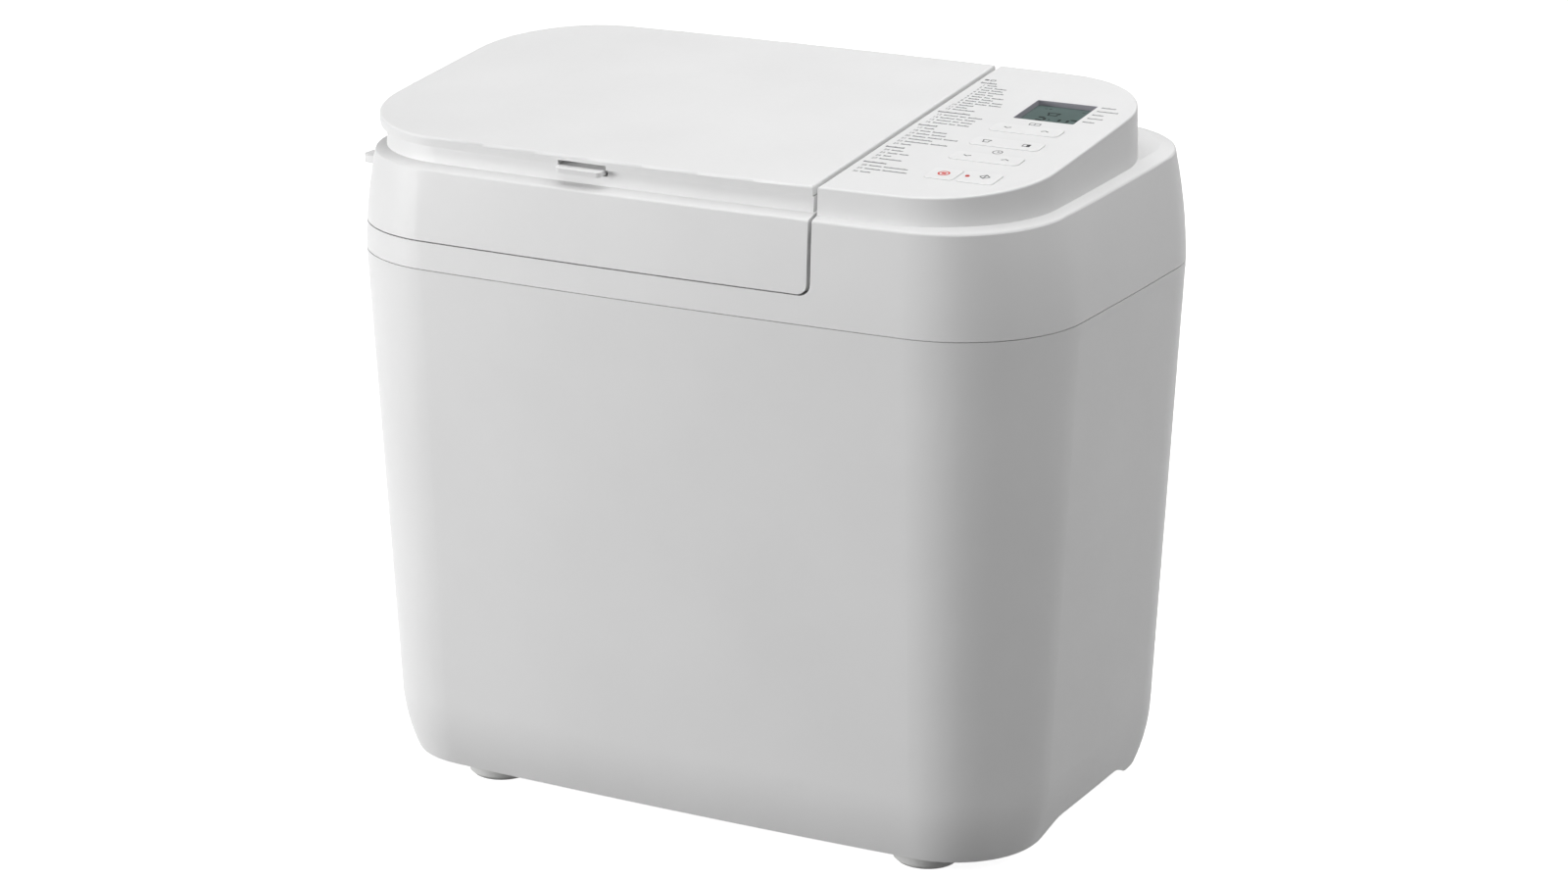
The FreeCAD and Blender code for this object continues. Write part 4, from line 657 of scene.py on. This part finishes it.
class BREADMACHINE_OT_keys(bpy.types.Operator):
    """Finish the keys and print their signs"""

    bl_idname = "bread_machine.keys"
    bl_label = "Keys and their signs"

    def execute(self, context):
        keys = ("menu_rocker", "crust_rocker", "timer_rocker", "stop_key", "start_key")
        dress(keys, moulded_plastic("key_white", colours().keys, 0.40, 0.000008))
        dress(("indicator_lens",), lamp_lens("lamp_red", (0.60, 0.06, 0.05)))
        ink = printed_ink("key_ink", colours().sign_ink)
        slope = math.cos(sizes().tilt)
        lift = sizes().key_proud
        for name, body, y in (("menu_signs", "menu", MENU_ROW), ("timer_signs", "timer", TIMER_ROW)):
            bm = bmesh.new()
            chevron(bm, -10.3, 0.1, 1.7, -1.9, 0.62)
            chevron(bm, 9.7, 0.1, 1.7, 1.9, 0.62)
            print_on(name, bm, KEY_COLUMN, y / slope, lift, body, ink)
        bm = bmesh.new()
        loaf = ((-12.6, -1.8), (-9.2, -1.8), (-9.2, 0.4), (-8.6, 0.8), (-8.6, 1.8), (-13.2, 1.8),
                (-13.2, 0.8), (-12.6, 0.4))
        stamp(bm, loaf, 0.3, FINE_LINE)
        stamp(bm, oblong(8.2, -1.7, 12.2, 1.7), 0.4, FINE_LINE)
        stamp(bm, oblong(10.3, -1.4, 12.0, 1.4))
        print_on("crust_signs", bm, KEY_COLUMN, CRUST_ROW / slope, lift, "crust", ink)
        bm = bmesh.new()
        stamp(bm, ((-1.1, 1.8), (1.9, -1.0), (4.9, 1.8), (1.9, 4.6)), 0.0, 0.55)
        stamp(bm, oblong(1.65, -0.5, 2.15, 4.1))
        print_on("start_sign", bm, START_COLUMN, PUSH_ROW / slope, lift, "start", ink)
        bm = bmesh.new()
        ringlet(bm, 0.0, 0.0, 3.0, 0.8)
        stamp(bm, oblong(-1.2, -1.1, 1.2, 1.1), 0.3)
        print_on("stop_sign", bm, STOP_COLUMN, PUSH_ROW / slope, lift, "stop",
                 printed_ink("stop_ink", colours().red_ink))
        return {"FINISHED"}


class BREADMACHINE_OT_program_list(bpy.types.Operator):
    """Print the numbered program list and the small signs on the panel"""

    bl_idname = "bread_machine.program_list"
    bl_label = "Panel print"

    def execute(self, context):
        s = sizes()
        ink = printed_ink("panel_ink", colours().ink)
        slope = math.cos(s.tilt)
        word = s.word * 1000
        bm = bmesh.new()
        number = 0
        for head, length, first, step, lines in PROGRAM_GROUPS:
            words(bm, HEADING_COLUMN, head / slope, length, word * 1.25)
            for i, parts in enumerate(lines):
                row = (first - step * i) / slope
                number += 1
                figure(bm, str(number), NUMBER_COLUMN, row, s.figure * 1000)
                x = WORD_COLUMN
                for part in parts:
                    words(bm, x, row, part - WORD_GAP, word)
                    x += part
        print_on("program_list", bm, 0.0, 0.0, 0.0, "casing", ink)
        bm = bmesh.new()
        for row, length in STAGE_MARKS:
            words(bm, STAGE_COLUMN, row / slope, length, word)
        stamp(bm, oblong(88.0, 59.2, 90.2, 61.0), 0.4)
        stamp(bm, oblong(91.0, 58.9, 93.9, 61.3), 0.6, FINE_LINE)
        stamp(bm, oblong(138.6, 2.1, 144.6, 5.3), 0.6, FINE_LINE)
        stamp(bm, oblong(141.4, 2.3, 141.8, 5.1))
        ringlet(bm, 142.5, -40.4, 2.6, FINE_LINE)
        hands = ((142.3, -40.6), (144.0, -40.6), (144.0, -40.25), (142.65, -40.25), (142.65, -38.7),
                 (142.3, -38.7))
        stamp(bm, hands)
        print_on("panel_signs", bm, 0.0, 0.0, 0.0, "casing", ink)
        return {"FINISHED"}


class BREADMACHINE_OT_display(bpy.types.Operator):
    """Finish the display, build its bezel and set its figures"""

    bl_idname = "bread_machine.display"
    bl_label = "Display"

    def execute(self, context):
        s = sizes()
        slope = math.cos(s.tilt)
        v = DISPLAY_ROW / slope
        half_width, half_depth = BEZEL_HALF
        dress(("display_window",), display_film("display_grey", colours().display))
        dress(("display_module",), moulded_plastic("module_grey", (0.20, 0.20, 0.21), 0.5, 0.00001))
        bm = bmesh.new()
        stamp(bm, oblong(-half_width, -half_depth, half_width, half_depth), 0.8, 0.32)
        pull(bm, 0.12 - s.display_depth * 1000)
        bmesh.ops.recalc_face_normals(bm, faces=bm.faces[:])
        settle("display_bezel", bm, panel_place(DISPLAY_COLUMN, v, -0.0001), "casing",
               moulded_plastic("bezel_grey", colours().bezel, 0.5, 0.00001))
        bm = bmesh.new()
        for bars, x in FIGURES:
            self.segments(bm, bars, x)
        for y in (-8.2, -4.6):
            ringlet(bm, -1.6, y, 0.6, 0.6)
        loaf = ((-5.4, 1.2), (-0.2, 1.2), (-0.2, 3.4), (0.6, 3.9), (0.6, 5.4), (-6.2, 5.4), (-6.2, 3.9),
                (-5.4, 3.4))
        stamp(bm, loaf, 0.4, 0.7)
        for x in (-10.6, -8.2, 9.6, 12.0):
            dash(bm, x, 10.4, 1.5, 0.55)
        ink = printed_ink("display_ink", (0.008, 0.011, 0.011))
        lift = 0.00001 - s.display_depth
        print_on("display_figures", bm, DISPLAY_COLUMN, v, lift, "casing", ink)
        return {"FINISHED"}

    def segments(self, bm, dark, x):
        """One figure from its left side, in up to seven bars a to g with pointed ends."""
        foot = FIGURE_FOOT
        middle = foot + FIGURE_HEIGHT / 2
        top = foot + FIGURE_HEIGHT
        right = x + FIGURE_WIDTH
        bars = {
            "a": (x, top, right, top), "d": (x, foot, right, foot), "g": (x, middle, right, middle),
            "f": (x, middle, x, top), "e": (x, foot, x, middle),
            "b": (right, middle, right, top), "c": (right, foot, right, middle),
        }
        half = FIGURE_BAR / 2
        gap = FIGURE_BAR * 0.35
        for name in dark:
            x0, y0, x1, y1 = bars[name]
            if y0 == y1:
                near = x0 + gap
                far = x1 - gap
                stamp(bm, ((near, y0), (near + half, y0 - half), (far - half, y0 - half),
                           (far, y0), (far - half, y0 + half), (near + half, y0 + half)))
            else:
                near = y0 + gap
                far = y1 - gap
                stamp(bm, ((x0, near), (x0 + half, near + half), (x0 + half, far - half),
                           (x0, far), (x0 - half, far - half), (x0 - half, near + half)))


class BREADMACHINE_OT_edges(bpy.types.Operator):
    """Break the sharp edges of the large mouldings"""

    bl_idname = "bread_machine.edges"
    bl_label = "Soft edges"

    def execute(self, context):
        soften(("lid_shell", "cover_tab"), sizes().edge)
        return {"FINISHED"}


class BREADMACHINE_OT_stage(bpy.types.Operator):
    """Set the floor, the soft light and the camera"""

    bl_idname = "bread_machine.stage"
    bl_label = "Floor, light and camera"

    def execute(self, context):
        scene = context.scene
        stage = scene.bread_machine_stage
        bm = bmesh.new()
        bmesh.ops.create_circle(bm, cap_ends=True, segments=96, radius=stage.floor_radius)
        mesh = bpy.data.meshes.new("floor")
        bm.to_mesh(mesh)
        bm.free()
        floor = bpy.data.objects.new("floor", mesh)
        scene.collection.objects.link(floor)
        recipe = Recipe("floor_white", specular_ior_level=0.2, emission_color=(1.0, 1.0, 1.0, 1.0),
                        emission_strength=stage.floor_glow)
        haze = recipe.noise(3.0, 2.0)
        tone = colours().floor
        recipe.colour(recipe.ramp(haze, (0.3, shade(tone, 0.995)), (0.7, shade(tone, 1.005))))
        recipe.rough(recipe.spread(haze, 0.75, 0.85))
        mesh.materials.append(recipe.material)
        floor.visible_diffuse = False
        scene.world = bpy.data.worlds.new("studio")
        scene.world.use_nodes = True
        sky = scene.world.node_tree.nodes["Background"]
        sky.inputs["Color"].default_value = (1.0, 1.0, 1.0, 1.0)
        sky.inputs["Strength"].default_value = stage.sky
        for name, (place, power, width) in STUDIO_LAMPS.items():
            self.lamp(scene, name, place, power * stage.light, width)
        scene.view_settings.view_transform = "Standard"
        data = bpy.data.cameras.new("camera")
        data.sensor_width = SENSOR_WIDTH
        data.sensor_fit = "HORIZONTAL"
        data.lens = stage.lens
        data.clip_start = 0.05
        data.clip_end = 60.0
        camera = bpy.data.objects.new("camera", data)
        turn = (Matrix.Rotation(stage.yaw, 4, "Z") @ Matrix.Rotation(math.pi / 2 - stage.pitch, 4, "X")
                @ Matrix.Rotation(stage.roll, 4, "Z"))
        camera.matrix_world = Matrix.Translation(stage.camera) @ turn
        scene.collection.objects.link(camera)
        scene.camera = camera
        return {"FINISHED"}

    def lamp(self, scene, name, place, power, size):
        """A square soft lamp that faces the middle of the machine and stays out of the picture."""
        data = bpy.data.lights.new(name, "AREA")
        data.energy = power
        data.size = size
        lamp = bpy.data.objects.new(name, data)
        lamp.location = place
        lamp.rotation_euler = (Vector(place) - LAMP_AIM).to_track_quat("Z", "Y").to_euler()
        lamp.visible_camera = False
        scene.collection.objects.link(lamp)


GROUPS = {
    "bread_machine_colours": BreadMachineColours,
    "bread_machine_sizes": BreadMachineSizes,
    "bread_machine_stage": BreadMachineStage,
}
OPERATORS = (
    BREADMACHINE_OT_shells, BREADMACHINE_OT_base, BREADMACHINE_OT_chamber, BREADMACHINE_OT_pan,
    BREADMACHINE_OT_drive, BREADMACHINE_OT_keys, BREADMACHINE_OT_program_list, BREADMACHINE_OT_display,
    BREADMACHINE_OT_edges, BREADMACHINE_OT_stage,
)


class BREADMACHINE_PT_panel(bpy.types.Panel):
    """Lists the steps and the values they use"""

    bl_idname = "BREADMACHINE_PT_panel"
    bl_label = "Bread Machine"
    bl_space_type = "VIEW_3D"
    bl_region_type = "UI"
    bl_category = "Bread Machine"

    def draw(self, context):
        layout = self.layout
        for operator in OPERATORS:
            layout.operator(operator.bl_idname)
        for name in GROUPS:
            group = getattr(context.scene, name)
            box = layout.box()
            for prop in group.__annotations__:
                box.prop(group, prop)


CLASSES = tuple(GROUPS.values()) + OPERATORS + (BREADMACHINE_PT_panel,)


def register():
    for cls in CLASSES:
        bpy.utils.register_class(cls)
    for name, group in GROUPS.items():
        setattr(bpy.types.Scene, name, PointerProperty(type=group))


def unregister():
    for name in GROUPS:
        delattr(bpy.types.Scene, name)
    for cls in reversed(CLASSES):
        bpy.utils.unregister_class(cls)


def main():
    register()
    for operator in OPERATORS:
        group, name = operator.bl_idname.split(".")
        getattr(getattr(bpy.ops, group), name)()


if __name__ == "__main__":
    main()
